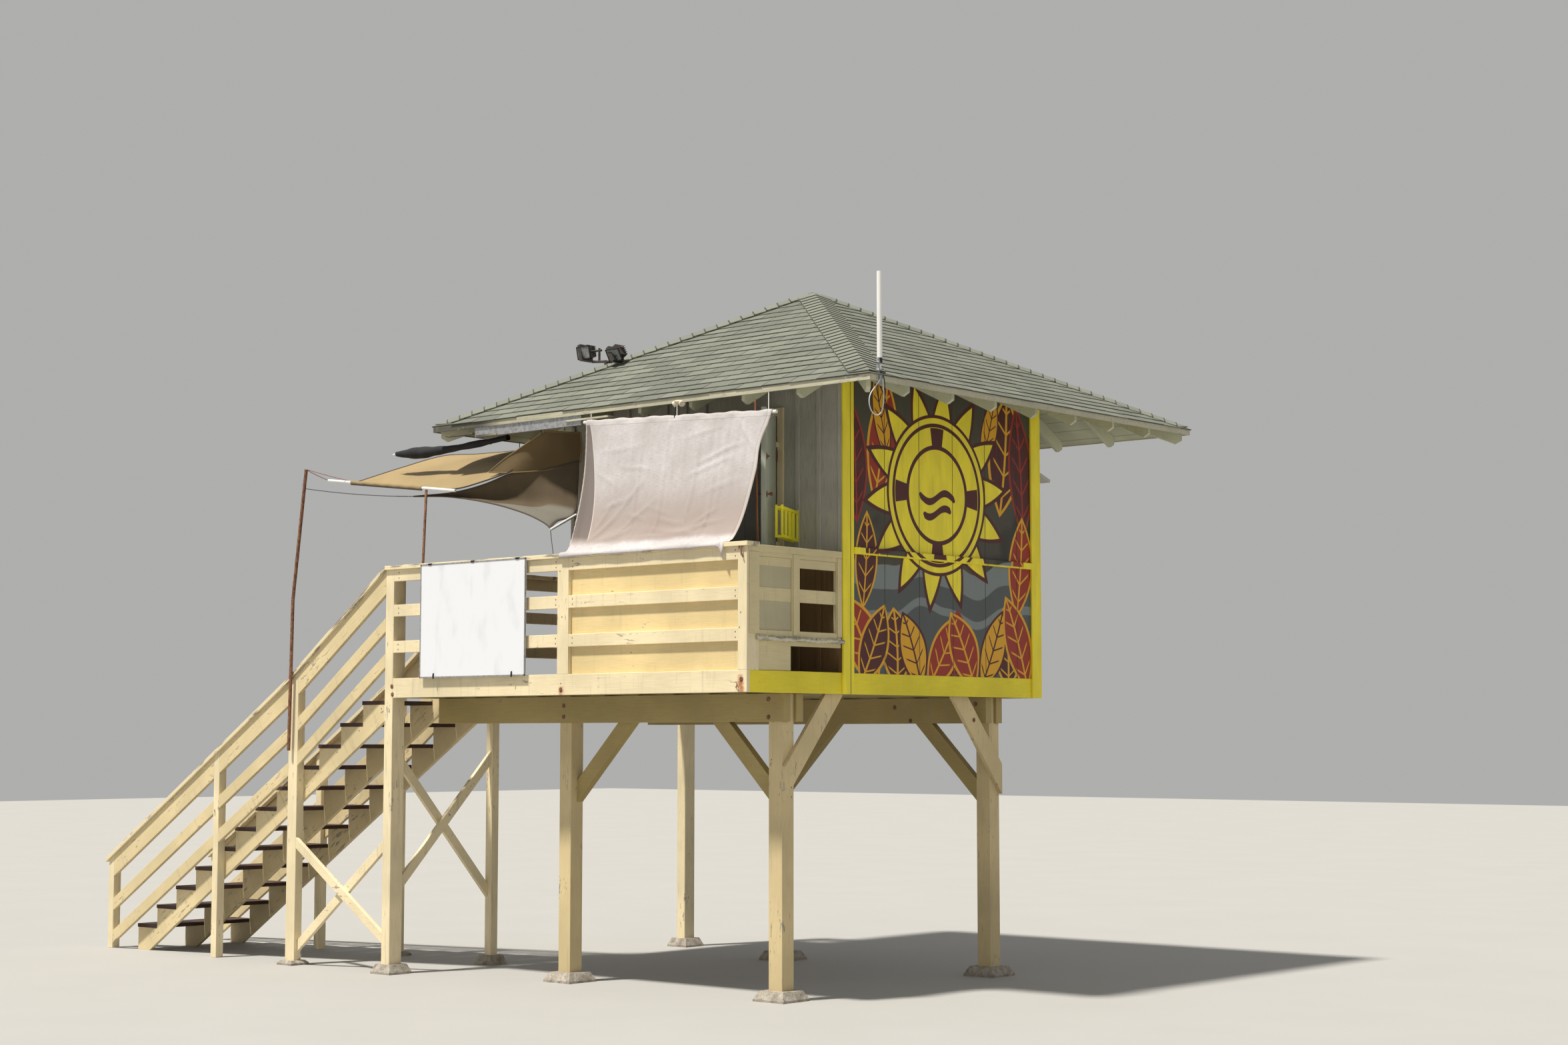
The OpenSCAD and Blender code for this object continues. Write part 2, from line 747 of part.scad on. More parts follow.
// Sawtooth stringer outline with a level seat under every tread
module stringer_side(head_x) {
    seats = [for (k = [1 : tread_n]) each [
        [-stair_start - (k - 1) * going + nosing, deck_h - k * rise - tread_t],
        [-stair_start - k * going + nosing, deck_h - k * rise - tread_t]]];
    foot = -stair_start + nosing - (deck_h - rise - tread_t - stringer_drop) / stair_pitch;
    polygon(concat(
        [[head_x, rim_low - seat], [-stair_start + nosing, rim_low - seat]], seats,
        [[nosing - stair_foot, 0], [foot, 0], [head_x, stringer_low(head_x)]]));
}

module stringers() {
    color("khaki") placed() {
        profile_y(near_y, plank_t) stringer_side(corner_x);
        for (y = [near_y + stair_w / 2 - plank_t / 2, near_y + stair_w - plank_t])
            profile_y(y, plank_t) stringer_side(corner_x + beam_short - 5);
    }
}

module treads() {
    color("saddlebrown") placed() for (k = [1 : tread_n])
        block(-stair_start - k * going, near_y, deck_h - k * rise - tread_t,
            [going + nosing, stair_w, tread_t]);
}

cap_up = cap_t / cos(slope);

// How far the handrail drops below a straight run, at its knee and at its foot
knee_drop = 118;
foot_drop = 47;

// How far the handrail lies below a straight run: it has a knee at the wide post
function rail_dip(x) = x > wide_post_x
    ? knee_drop * (corner_x - x) / (corner_x - wide_post_x)
    : knee_drop + (foot_drop - knee_drop) * (wide_post_x - x) / (wide_post_x - end_post_x);

// Height of the handrail's top at a place along the stair
function rail_at(x) = rail_top + (x - corner_x) * stair_pitch - rail_dip(x);

// An upright post of the stair, cut along the handrail's underside
module stair_post(x, w, low) {
    under = cap_up + seat;
    polygon([[x, low], [x + w, low], [x + w, rail_at(x + w) - under], [x, rail_at(x) - under]]);
}

module stair_posts() {
    color("khaki") placed() for (y = [0, far_y]) profile_y(y, step_post) {
        stair_post(wide_post_x, wide_post, foot_h * 0.25);
        stair_post(third_post_x, step_post, 0);
        stair_post(end_post_x, step_post, 0);
    }
}

// A board that follows the handrail at a depth below its top, between two places along the stair
module raked(below, w, x0, x1) {
    z0 = rail_at(x0) - below;
    z1 = rail_at(x1) - below;
    up = w / cos(slope);
    polygon([[x0, z0 - up], [x0, z0], [x1, z1], [x1, z1 - up]]);
}

module handrails() {
    runs = [[handrail_end, wide_post_x], [wide_post_x, corner_x]];
    color("khaki") placed() for (y = [-cap_over, far_y + step_post + cap_over - rail_mid_w], run = runs)
        profile_y(y, rail_mid_w) raked(0, cap_t, run[0], run[1]);
}

// Depths of the stair's side boards below the handrail's top
upper_rail = 490;
lower_rail = 830;

module stair_rails() {
    bays = [[end_post_x + step_post, third_post_x], [third_post_x + step_post, wide_post_x],
        [wide_post_x + wide_post, corner_x]];
    color("khaki") placed() for (y = [0, far_y + step_post - plank_t], bay = bays) {
        profile_y(y, plank_t) raked(cap_up + seat, side_brace_w, bay[0], bay[1]);
        for (below = [upper_rail, lower_rail]) profile_y(y, plank_t) raked(below, rail_w, bay[0], bay[1]);
    }
}

// Heights at which the crossed ties meet the posts
near_high = 1130;
near_low = 280;
near_foot = 130;
side_high = 1950;
side_low = 650;

module cross_ties() {
    x0 = wide_post_x + wide_post;
    color("khaki") placed() {
        profile_y(0, plank_t) tie(x0, near_high, corner_x, near_low, tie_w);
        profile_y(plank_t + seat, plank_t) tie(x0, near_foot, corner_x, near_high + 30, tie_w);
        profile_x(corner_x, plank_t) tie(post, side_high, far_y, side_low, tie_w);
        profile_x(corner_x + plank_t + seat, plank_t) tie(post, side_low + 100, far_y, side_high, tie_w);
    }
}

board_x0 = corner_x + 540;

// The board hangs in front of the rail, its top just under the cap's
module notice_board() {
    color("white") placed()
        block(board_x0, -cap_over - seat - panel_t, rail_top - board_h - 13, [board_w, panel_t, board_h]);
}

// A slatted rack that stands square to the open door leaf
module slatted_rack() {
    turn = 26.6;
    slats = 8;
    deep = 70;
    high = 270;
    bar = 30;
    thick = 18;
    step = (rack_l - 2 * thick) / slats;
    corner = [door_x1 + 195, front_wall_y - trim_t - deep * sin(turn) - seat, deck_h + 1156];
    color("yellow") placed() translate(corner) rotate([0, 0, turn]) {
        for (z = [0, high - bar]) block(0, -rack_l, z, [deep, rack_l, bar]);
        for (y = [-rack_l, -thick]) block(0, y, bar, [deep, thick, high - 2 * bar]);
        for (i = [1 : slats - 1], x = [0, deep - thick])
            block(x, -rack_l + i * step, bar, [thick, step / 2, high - 2 * bar]);
    }
}

// The antenna's place at the roof's right front corner
mast_x = roof_x1 - 30;
mast_y = roof_y0 + 170;
mast_r = 22.5;

module antenna() {
    stub_r = mast_r * 0.6;
    base = eave_z + pitch_side * (roof_x1 - mast_x + stub_r) + ridge_t + seat;
    color("white") placed() {
        translate([mast_x, mast_y, base]) cylinder(r = stub_r, h = 90);
        translate([mast_x, mast_y, base + 60]) cylinder(r = mast_r, h = antenna_l);
    }
}

lamp_x = roof_x0 + lamp_part * roof_l / 2;
lamp_y = roof_y0 + lamp_part * roof_w / 2;
lamp_r = 18;
lamp_z = eave_z + lamp_part * roof_rise + ridge_t + lamp_r * hip_pitch + seat;

// A floodlight head that looks towards the stair and down by a tilt
module lamp_head(tilt) {
    rotate([0, -tilt, 0]) {
        block(-60, -75, -80, [40, 150, 160]);
        block(-28, -55, -55, [78, 110, 110]);
    }
}

module floodlights() {
    bar_d = 26;
    low = 27;
    high = 49;
    stem_x = -93;
    color("dimgray") placed() translate([lamp_x, lamp_y, lamp_z]) {
        cylinder(r = lamp_r, h = high - 5);
        rod([-192, 0, high], [72, 0, low], bar_d);
        rod([stem_x, 1, high - 15], [stem_x, 1, 172], bar_d - 3);
        rod([stem_x + 30, 0, 149], [-240, 0, 152], bar_d - 5);
        translate([-248, 0, 150]) lamp_head(12);
        rod([44, 1, low + 3], [225, -60, 92], bar_d - 4);
        translate([221, -60, 92]) lamp_head(30);
    }
}

// The shade cloth's top lies under the front eave and falls to the right
cloth_z = rail_top + cloth_h;
cloth_y = roof_y0 - edge_t / 2;
cloth_fall = 98;

module shade_cloth() {
    x1 = cloth_x0 + cloth_w;
    color("linen") placed() cloth(
        [[cloth_x0, cloth_y - 3, cloth_z], [x1, cloth_y - 3, cloth_z - cloth_fall],
            [x1 - 165, cloth_y / 2, cloth_z - cloth_h * 0.55],
            [x1 - 215, 10, rail_top + 10], [cloth_x0 + 85, 10, rail_top + 22]],
        [cloth_x0 + cloth_w / 2 - 60, cloth_y / 2 + 15, cloth_z - cloth_h / 2], [0, 6, 0]);
}

// Corners of the sails, set out from the roof's left front corner and the eave
sail_t = 6;
sail_z = eave_z - 500;
brown_low = [mid_rail_x - 255, 150, rail_top + 247];
brown_top = brown_low + [-151, 450, 167];
pipe_left = [roof_x0 - 1434, 250, sail_z + 74];
pipe_right = [roof_x0 + 514, 200, sail_z - 159];
pipe_d = 28;
brown_off = [12.1, 3.6, 1.3];
brown_foot = brown_low + brown_off - 0.05 * (brown_top - brown_low);
brown_tip = [roof_x0 - 215, 300, sail_z - 160];
sail_tip = [roof_x0 - sail_reach, 300, sail_z + 28];
sail_hook = [roof_x0 - edge_t / 2, roof_y0 + 1110, eave_z - 131];

// The tan sail's flap hangs from the eave over the stair, and its corners are set out from this one
flap = [roof_x0 + 830, 345, sail_z + 4];
flap_eave = [flap[0] + 660, roof_y0 + channel_d + sail_t + seat, eave_z - edge_h - channel_h + 1.2];

module tan_sail() {
    past_pipe = pipe_right + [-40, pipe_d / 2 + 1.4, 2];
    under_eave = flap + [640, 295, 266];
    left_edge = [roof_x0 - 580, 1000, eave_z - 180];
    flap_rim = [flap + [20, -15, -4], flap + [750, 435, 108], flap + [860, 345, 338], flap_eave,
        flap + [260, 125, 236]];
    color("tan") placed() {
        cloth([sail_tip, past_pipe, flap, under_eave, sail_hook, left_edge],
            flap + [-700, 355, 166], [0, 0, sail_t]);
        cloth(flap_rim, flap + [450, 200, 196], [0, -sail_t, 0]);
    }
}

module brown_sail() {
    color("sienna") placed() cloth(
        [brown_tip, flap + [120, 25, -22], flap + [770, 405, 96], brown_top, brown_low],
        flap + [350, 25, -204], [0, -sail_t, 0]);
}

// The tall pole stands against the handrail and bends a little at its joint
tall_x = wide_post_x + 57;
tall_z = tall_pole * 0.537;
tall_low = rail_at(tall_x) - 756;
tall_top = [tall_x + 201, pole_y, tall_low + tall_pole];
short_foot = [roof_x0 + 162, 115, rail_top + 2.2];
short_part = 0.78;
short_top = pipe_left + (pipe_right - pipe_left) * short_part - [0, 0, pipe_d / 2 + 2.4];

module sail_poles() {
    color("sienna") placed() {
        rod([tall_x, pole_y, tall_low], [tall_x + 27, pole_y, tall_low + tall_z], tube_d);
        rod([tall_x + 27.3, pole_y, tall_low + tall_z + 2.3], tall_top, tube_d);
        rod(short_foot, short_top, tube_d * 0.75);
    }
}

pole_d = 30;
cord_d = 8;
hook_z = eave_z - edge_h - seat;

// Height of the cloth pole's middle line at a place along it
function pole_at(x) = cloth_z - cloth_fall * x / cloth_w + pole_d / 2 + seat + 0.1;

module white_tubes() {
    past = 30;
    end = cloth_w + past;
    color("white") placed() {
        rod([cloth_x0 - past, cloth_y, pole_at(-past)], [cloth_x0 + end, cloth_y, pole_at(end)], pole_d);
        for (x = [60, cloth_w / 2, cloth_w - 60])
            rod([cloth_x0 + x, cloth_y, pole_at(x)], [cloth_x0 + x, cloth_y, hook_z], cord_d);
        rod(pipe_left, pipe_right, pipe_d);
        rod(brown_foot, brown_top + brown_off, 25);
    }
}

// Ends of the rolled tarp's middle line under the left of the front eave
tarp_left = [roof_x0 - 639, 450, eave_z - 208];
tarp_right = [roof_x0 + 974, 600, eave_z - 242];
thick_at = 500;

// A place on the tarp's middle line that lies at a given x
function tarp_at(x) =
    tarp_left + (tarp_right - tarp_left) * (x - tarp_left[0]) / (tarp_right[0] - tarp_left[0]);

// The roll hangs on two cords, one from the hip rafter and one from the front rafter nearest the corner
module rolled_tarp() {
    hip_s = 190;
    hip_x = roof_x0 + hip_s * roof_l / 2 / hip_run;
    hip_deep = roof_t + 2 * seat + rafter_d / cos(atan(hip_pitch));
    hip_low = eave_z - hip_drop + hip_pitch * (hip_s - cord_d / 2) - hip_deep;
    end_x = peak_x - end_n * rafter_gap;
    end_y = tarp_at(end_x)[1];
    end_low = end_under(end_y - cord_d / 2 - roof_y0) - 2 * seat - rafter_d / cos(atan(pitch_end));
    run = norm(tarp_right - tarp_left);
    turn = atan2(tarp_right[1] - tarp_left[1], tarp_right[0] - tarp_left[0]);
    color("black") placed() {
        translate(tarp_left) rotate([0, acos((tarp_right[2] - tarp_left[2]) / run), turn]) {
            cylinder(r1 = 38, r2 = 52, h = thick_at);
            translate([0, 0, thick_at]) cylinder(r1 = 52, r2 = 42, h = run - thick_at);
        }
        rod(tarp_at(hip_x), [tarp_at(hip_x)[0], tarp_at(hip_x)[1], hip_low], cord_d);
        rod(tarp_at(end_x), [end_x, end_y, end_low], cord_d);
    }
}

module tie_ropes() {
    behind = tube_d / 2 + cord_d / 2;
    rail_tie = [mid_rail_x - 120, 60, rail_top + 2];
    color("pink") placed() {
        rod(tall_top + [-1, behind - 3.2, -10], pipe_left + [-4.6, -2, 3.5], cord_d);
        rod(tall_top + [-8.6, 4.9, -192], brown_tip + [-1.5, -3.4, 0.2], cord_d);
        rod(sail_hook + [0, 0, sail_t + seat], [sail_hook[0], sail_hook[1], hook_z], cord_d);
        rod(brown_foot + [2.1, -1.3, -4.3], rail_tie, cord_d);
    }
}

footings();
post_front_right();
post_back_right();
post_front_middle();
post_back_middle();
corner_posts();
beam_front();
beam_back();
braces_across();
braces_along();
joists();
rim_front();
rim_right();
rim_back_left();
floor();
wall_right();
wall_front_right();
wall_front_left();
wall_over_door();
wall_left();
wall_back();
wall_trims();
wall_battens();
door_leaf();
door_frame();
window_shutter();
shutter_props();
roof_front();
roof_right();
roof_back();
roof_left();
hip_caps();
rafters();
eave_edge();
eave_channel();
rail_posts();
rail_cap();
rail_boards();
infill_panels();
side_frame();
stringers();
treads();
stair_posts();
handrails();
stair_rails();
cross_ties();
notice_board();
slatted_rack();
antenna();
floodlights();
shade_cloth();
white_tubes();
tan_sail();
brown_sail();
sail_poles();
rolled_tarp();
tie_ropes();
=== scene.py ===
"""Looks of a raised timber lifeguard tower: painted boards, shingles, a painted side wall and cloth sun shades."""

import math
import random

import bmesh
import bpy
from mathutils import Matrix, Vector
from mathutils.bvhtree import BVHTree


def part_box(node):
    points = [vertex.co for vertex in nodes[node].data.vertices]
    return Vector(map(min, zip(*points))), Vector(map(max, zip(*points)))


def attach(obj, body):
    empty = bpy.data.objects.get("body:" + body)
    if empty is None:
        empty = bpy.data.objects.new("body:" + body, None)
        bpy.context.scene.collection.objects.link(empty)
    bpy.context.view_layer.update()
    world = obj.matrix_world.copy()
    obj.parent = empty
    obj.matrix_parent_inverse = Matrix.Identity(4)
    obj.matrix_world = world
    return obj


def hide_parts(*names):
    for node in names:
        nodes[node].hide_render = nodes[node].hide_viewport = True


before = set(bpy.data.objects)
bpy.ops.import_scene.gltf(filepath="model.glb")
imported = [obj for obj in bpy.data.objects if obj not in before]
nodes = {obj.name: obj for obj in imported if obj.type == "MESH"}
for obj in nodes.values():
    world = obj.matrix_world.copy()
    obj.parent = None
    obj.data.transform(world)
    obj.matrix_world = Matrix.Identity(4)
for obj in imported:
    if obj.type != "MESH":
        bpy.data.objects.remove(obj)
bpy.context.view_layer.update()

# The deck's own corner, from which the tower is set out: front and right faces of its rim boards.
DECK_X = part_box("rim_right")[1].x
DECK_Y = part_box("rim_front")[0].y
FLOOR_TOP = 2.764
STEPS, STEP_RISE, STEP_GOING = 12, 0.208, 0.328


def at(x, y, z):
    """A place measured from the deck's front right corner and the ground, in metres."""
    return Vector((DECK_X + x, DECK_Y + y, z))


def up_by(height):
    return Vector((0, 0, height))


def moved(point, *moves):
    """The points reached from one point by several moves."""
    return [point + Vector(move) for move in moves]


def axes(x, y, z):
    """A turn that brings the three axes onto three directions."""
    return Matrix((x, y, z)).transposed().to_4x4()


def in_scene(name, data):
    made = bpy.data.objects.new(name, data)
    bpy.context.scene.collection.objects.link(made)
    return made


# Camera at the photograph's viewing angle. SENSOR_WIDTH and LENS are in millimetres, PICTURE in pixels.
SENSOR_WIDTH, LENS = 36.0, 56.24
PICTURE = (2352, 1568)
camera = in_scene("camera", bpy.data.cameras.new("camera"))
bpy.context.scene.camera = camera
camera.data.sensor_width = SENSOR_WIDTH
camera.data.lens = LENS
camera.data.clip_end = 200.0
ahead = Vector((-0.6526, 0.7526, 0.0879)).normalized()
above = Vector((0.0576, -0.0664, 0.9961))
side = ahead.cross(above).normalized()
above = side.cross(ahead).normalized()
camera.matrix_world = Matrix.Translation(at(13.496, -15.094, 2.197)) @ axes(side, above, -ahead)


# ---- Node graphs written as Python ----


class Wire:
    """One output of a node graph. Operators on it, set below, add the nodes that do the sum."""

    def __init__(self, graph, socket):
        self.graph, self.socket = graph, socket

    def __rsub__(self, other):
        return self.graph.node("ShaderNodeMath", {"operation": "SUBTRACT"}, [other, self])

    def fade(self, low, high):
        """0 below low, 1 above high, smooth between."""
        return self.graph.node("ShaderNodeMapRange", {"interpolation_type": "SMOOTHSTEP"},
                               {"Value": self, "From Min": low, "From Max": high})


def maths(operation):
    """A method of a wire that adds one sum to its graph."""
    return lambda wire, *values: wire.graph.node("ShaderNodeMath", {"operation": operation}, [wire, *values])


for method, operation in {
        "__add__": "ADD", "__radd__": "ADD", "__sub__": "SUBTRACT", "__mul__": "MULTIPLY", "__truediv__": "DIVIDE",
        "__mod__": "FLOORED_MODULO", "__pow__": "POWER", "__gt__": "GREATER_THAN", "__lt__": "LESS_THAN",
        "__abs__": "ABSOLUTE", "floor": "FLOOR", "either": "MAXIMUM", "sine": "SINE"}.items():
    setattr(Wire, method, maths(operation))


class Graph:
    """A shader or geometry node tree, with one method that adds a node."""

    def __init__(self, tree):
        self.tree = tree

    def node(self, kind, settings=None, inputs=(), out=0):
        made = self.tree.nodes.new(kind)
        for name, value in (settings or {}).items():
            setattr(made, name, value)
        pairs = inputs.items() if isinstance(inputs, dict) else enumerate(inputs)
        for key, value in pairs:
            self.feed(made.inputs[key], value)
        return Wire(self, made.outputs[out])

    def feed(self, socket, value):
        if isinstance(value, Wire):
            self.tree.links.new(value.socket, socket)
        elif value is not None:
            socket.default_value = value

    def copies(self, points, piece, turn):
        """The piece on every point."""
        return self.node("GeometryNodeInstanceOnPoints", {}, {"Points": points, "Instance": piece, "Rotation": turn})

    def parts(self, vector):
        """The three numbers of a vector."""
        split = self.tree.nodes.new("ShaderNodeSeparateXYZ")
        self.feed(split.inputs[0], vector)
        return [Wire(self, s) for s in split.outputs]


class Finish(Graph):
    """A procedural material on a Principled shader, patterned in object coordinates."""

    def __init__(self, name, lean=0.0):
        self.material = bpy.data.materials.new(name)
        self.material.use_nodes = True
        super().__init__(self.material.node_tree)
        self.surface = self.tree.nodes["Principled BSDF"]
        self.place = self.node("ShaderNodeTexCoord", out="Object")
        if lean:
            turn = (0.0, math.radians(lean), 0.0)
            self.place = self.node("ShaderNodeMapping", {}, {"Vector": self.place, "Rotation": turn})
        self.x, self.y, self.z = self.parts(self.place)

    def noise(self, scale, stretch=(1, 1, 1), detail=3.0, rough=0.5, shift=0.0):
        return self.cloud(self.place, scale, stretch, detail, rough, (shift, shift, shift))

    def cloud(self, place, scale, stretch, detail, rough, shift):
        """Noise over stretched and shifted coordinates."""
        place = self.node("ShaderNodeVectorMath", {"operation": "MULTIPLY_ADD"}, [place, stretch, shift])
        return self.node("ShaderNodeTexNoise", {}, {
            "Vector": place, "Scale": scale, "Detail": detail, "Roughness": rough})

    def on_cloth(self):
        """Places on a sheet's own UV map, in metres across and down its cut."""
        return self.parts(self.node("ShaderNodeUVMap", out="UV"))[:2]

    def saw(self, value):
        """Distance of a number from the middle of its own unit: 0.5 at each whole number, 0 half way."""
        return abs((value % 1.0) - 0.5)

    def along(self, axis):
        return {"x": self.x, "y": self.y, "z": self.z}[axis]

    def blend(self, share, first, second):
        """A colour that goes from first to second as share goes from 0 to 1."""
        pick = [c if isinstance(c, Wire) else (*c, 1.0) for c in (first, second)]
        return self.node("ShaderNodeMix", {"data_type": "RGBA"}, {0: share, 6: pick[0], 7: pick[1]}, out=2)

    def coat(self, share, colour):
        """Lays a colour over what is there, as far as its share."""
        self.base = self.blend(share, self.base, colour)

    def finish(self, rough, height=None, depth=0.002):
        self.feed(self.surface.inputs["Base Color"], self.base)
        self.feed(self.surface.inputs["Roughness"], rough)
        if height is not None:
            bump = self.node("ShaderNodeBump", {}, {"Strength": 1.0, "Distance": depth, "Height": height})
            self.feed(self.surface.inputs["Normal"], bump)
        return self.material


def shade(colour, by):
    return tuple(min(1.0, c * by) for c in colour)


# ---- Finishes ----

CREAM = (0.80, 0.69, 0.45)
PANEL_CREAM = (0.76, 0.60, 0.30)
YELLOW = (0.80, 0.68, 0.03)
WALL_GREY = (0.47, 0.46, 0.41)
PORCH_BROWN = (0.20, 0.115, 0.045)
SAGE = (0.50, 0.51, 0.36)
BARE_WOOD = (0.36, 0.32, 0.26)
DARK_BROWN = (0.045, 0.020, 0.014)
BROWN_ENDS = (3.70, 3.71)  # heights between which the porch walls turn from brown to grey
STAIR_PITCH = 32.4  # degrees
THREADS = 420.0  # threads in a metre of cloth
GRAIN_ALONG = {"x": (1.2, 22, 22), "y": (22, 1.2, 22), "z": (22, 22, 1.2)}


def painted_wood(name, colour, along, worn=0.35, grime=0.35, stains=(), boards=None, lean=0.0, other=None):
    """House paint on sawn timber: grain telegraphs through, chips show grey wood, rain leaves streaks.

    stains are places (x, z) of rusty bolts on faces that look along Y. boards = (axis, width) cuts a face into boards.
    lean turns the grain with the stair. other = (axis, start, end, colour) changes the paint past a place."""
    f = Finish(name, lean)
    stretch = GRAIN_ALONG[along]
    grain = f.noise(5.0, stretch, detail=6.0, rough=0.62)
    patch = f.noise(1.7, detail=4.0, shift=3.1)
    flecks = f.noise(26.0, tuple(0.25 * s ** 0.5 for s in stretch), detail=5.0, rough=0.7, shift=7.7)
    streak = f.noise(3.0, (9, 9, 0.8), detail=4.0, shift=1.3)
    f.base = f.blend(patch.fade(0.3, 0.72), shade(colour, 0.86), shade(colour, 1.06))
    if other:
        axis, start, end, second = other
        beyond = f.along(axis).fade(start, end)
        f.coat(beyond, f.blend(patch.fade(0.3, 0.72), shade(second, 0.8), second))
    f.coat(grain.fade(0.42, 0.75) * 0.35, shade(colour, 0.68))
    f.coat(streak.fade(0.55, 0.8) * grime, shade(BARE_WOOD, 0.8))
    chips = (flecks * 0.7 + patch * 0.3).fade(0.66 - 0.12 * worn, 0.68 - 0.12 * worn)
    f.coat(chips, f.blend(grain.fade(0.3, 0.7), shade(BARE_WOOD, 0.6), shade(BARE_WOOD, 1.5)))
    height = grain * 0.5 - chips * 0.8
    if boards:
        axis, width = boards
        gap = f.saw(f.along(axis) / width).fade(0.486, 0.496)
        f.coat(gap * 0.8, shade(colour, 0.2))
        height = height - gap * 2.5
    for x, z in stains:
        spot = at(x, 0, z)
        beside = abs(f.x - spot.x)
        below = spot.z - f.z
        run = (1 - beside.fade(0.006, 0.045)) * (1 - below.fade(0.01, 0.15)) * below.fade(-0.04, 0.0)
        f.coat(run * flecks.fade(0.25, 0.55), (0.42, 0.13, 0.035))
    return f.finish(0.5 + grain * 0.3 + chips * 0.2, height, 0.0025)


def bare_wood(name, along, colour=BARE_WOOD, paint=None, left=0.3, lean=0.0):
    """Sun-bleached timber with open grain and what is left of its paint."""
    f = Finish(name, lean)
    stretch = GRAIN_ALONG[along]
    grain = f.noise(6.0, stretch, detail=8.0, rough=0.7)
    patch = f.noise(2.2, tuple(s ** 0.6 for s in stretch), detail=5.0, shift=2.0)
    f.base = f.blend(grain.fade(0.3, 0.72), shade(colour, 0.55), shade(colour, 1.55))
    height = grain
    if paint:
        kept = (patch * 0.6 + grain * 0.4).fade(0.56 - 0.2 * left, 0.6 - 0.2 * left)
        f.coat(kept, paint)
        height = height * 0.6 + kept * 0.5
    return f.finish(0.85, height, 0.003)


def worn_treads():
    f = Finish("brown_treads")
    grain = f.noise(7.0, GRAIN_ALONG["y"], detail=6.0)
    middle = f.noise(3.0, detail=3.0)
    f.base = f.blend(grain.fade(0.35, 0.75), shade(DARK_BROWN, 0.7), shade(DARK_BROWN, 1.8))
    f.coat(middle.fade(0.5, 0.8) * 0.4, (0.16, 0.11, 0.08))
    return f.finish(0.7, grain, 0.002)


def mineral_shingle():
    """Grey-green granules on felt, each tab in its own tone."""
    f = Finish("shingle_granules")
    tone = f.node("ShaderNodeAttribute", {"attribute_name": "tone"}, out="Fac")
    across, up = f.parts(f.node("ShaderNodeAttribute", {"attribute_name": "spot"}, out="Vector"))[:2]
    granule = f.noise(420.0, detail=2.0)
    ragged = f.noise(22.0, detail=4.0, shift=8.0)
    stain = f.noise(0.9, detail=4.0, shift=5.0)
    f.base = f.blend(tone, (0.105, 0.115, 0.090), (0.178, 0.190, 0.150))
    f.coat(granule.fade(0.35, 0.7) * 0.5, (0.25, 0.26, 0.22))
    f.coat(stain.fade(0.5, 0.85) * 0.4, (0.075, 0.082, 0.062))
    # Painted shadow: a dark line along each tab's lower edge and in its slots, for the shadow lines between courses.
    butt = 1 - (up + ragged * 0.010).fade(0.013, 0.022)
    slot = (abs(across) + ragged * 0.006).fade(0.147, 0.153)
    f.coat((butt * 0.85).either(slot * 0.7), (0.035, 0.038, 0.028))
    return f.finish(0.9, granule - butt, 0.0015)


def roof_deck():
    """Painted sheathing boards below, dark felt above."""
    f = Finish("roof_sheathing")
    normal = f.node("ShaderNodeNewGeometry", out="Normal")
    up = f.node("ShaderNodeSeparateXYZ", {}, [normal], out="Z")
    board = f.saw(f.z / 0.075).fade(0.46, 0.49)
    patch = f.noise(2.5, detail=4.0)
    below = f.blend(patch.fade(0.3, 0.8), shade(SAGE, 0.75), shade(SAGE, 1.02))
    below = f.blend(board * 0.7, below, shade(SAGE, 0.3))
    f.base = f.blend(up.fade(-0.1, 0.1), below, (0.10, 0.11, 0.09))
    return f.finish(0.75, 1 - board, 0.002)


def rough_concrete():
    f = Finish("cast_concrete")
    lumps = f.noise(14.0, detail=6.0, rough=0.65)
    pits = f.noise(90.0, detail=3.0)
    f.base = f.blend(lumps.fade(0.3, 0.7), (0.22, 0.19, 0.15), (0.45, 0.41, 0.35))
    f.coat(pits.fade(0.6, 0.7), (0.14, 0.12, 0.10))
    return f.finish(0.92, lumps + pits * 0.3, 0.01)


def rusty_tube():
    f = Finish("rusty_tube")
    scale = f.noise(60.0, (1, 1, 0.4), detail=6.0, rough=0.7)
    f.base = f.blend(scale.fade(0.3, 0.7), (0.075, 0.032, 0.020), (0.33, 0.16, 0.085))
    return f.finish(0.85, scale, 0.0015)


def dull_metal(name, colour):
    f = Finish(name)
    wear = f.noise(35.0, detail=5.0)
    f.base = f.blend(wear.fade(0.35, 0.75), colour, shade(colour, 0.6))
    f.surface.inputs["Metallic"].default_value = 0.6
    return f.finish(0.4 + wear * 0.3, wear, 0.0008)


def white_enamel(name, colour=(0.80, 0.80, 0.78)):
    f = Finish(name)
    smear = f.noise(6.0, (1, 1, 0.4), detail=5.0)
    f.base = f.blend(smear.fade(0.5, 0.8), colour, shade(colour, 0.86))
    return f.finish(0.28 + smear * 0.25)


def woven(name, colour, dark):
    """Woven cloth: two sets of threads on the sheet's own UV map, with faded and dusty areas."""
    f = Finish(name)
    across, along = f.on_cloth()
    warp, weft = (f.saw(way * THREADS) for way in (across, along))
    slub = f.noise(8.0, (12, 12, 1.2), detail=5.0)
    fade = f.noise(1.8, detail=4.0, shift=2.5)
    f.base = f.blend(fade.fade(0.3, 0.75), shade(colour, 0.85), shade(colour, 1.05))
    f.coat(slub.fade(0.45, 0.8) * 0.35, shade(colour, 0.75))
    f.coat((warp * weft * 4).fade(0.45, 0.9) * 0.5, dark)
    f.surface.inputs["Sheen Weight"].default_value = 0.15
    return f.finish(0.95, (1 - warp) + (1 - weft), 0.0006)


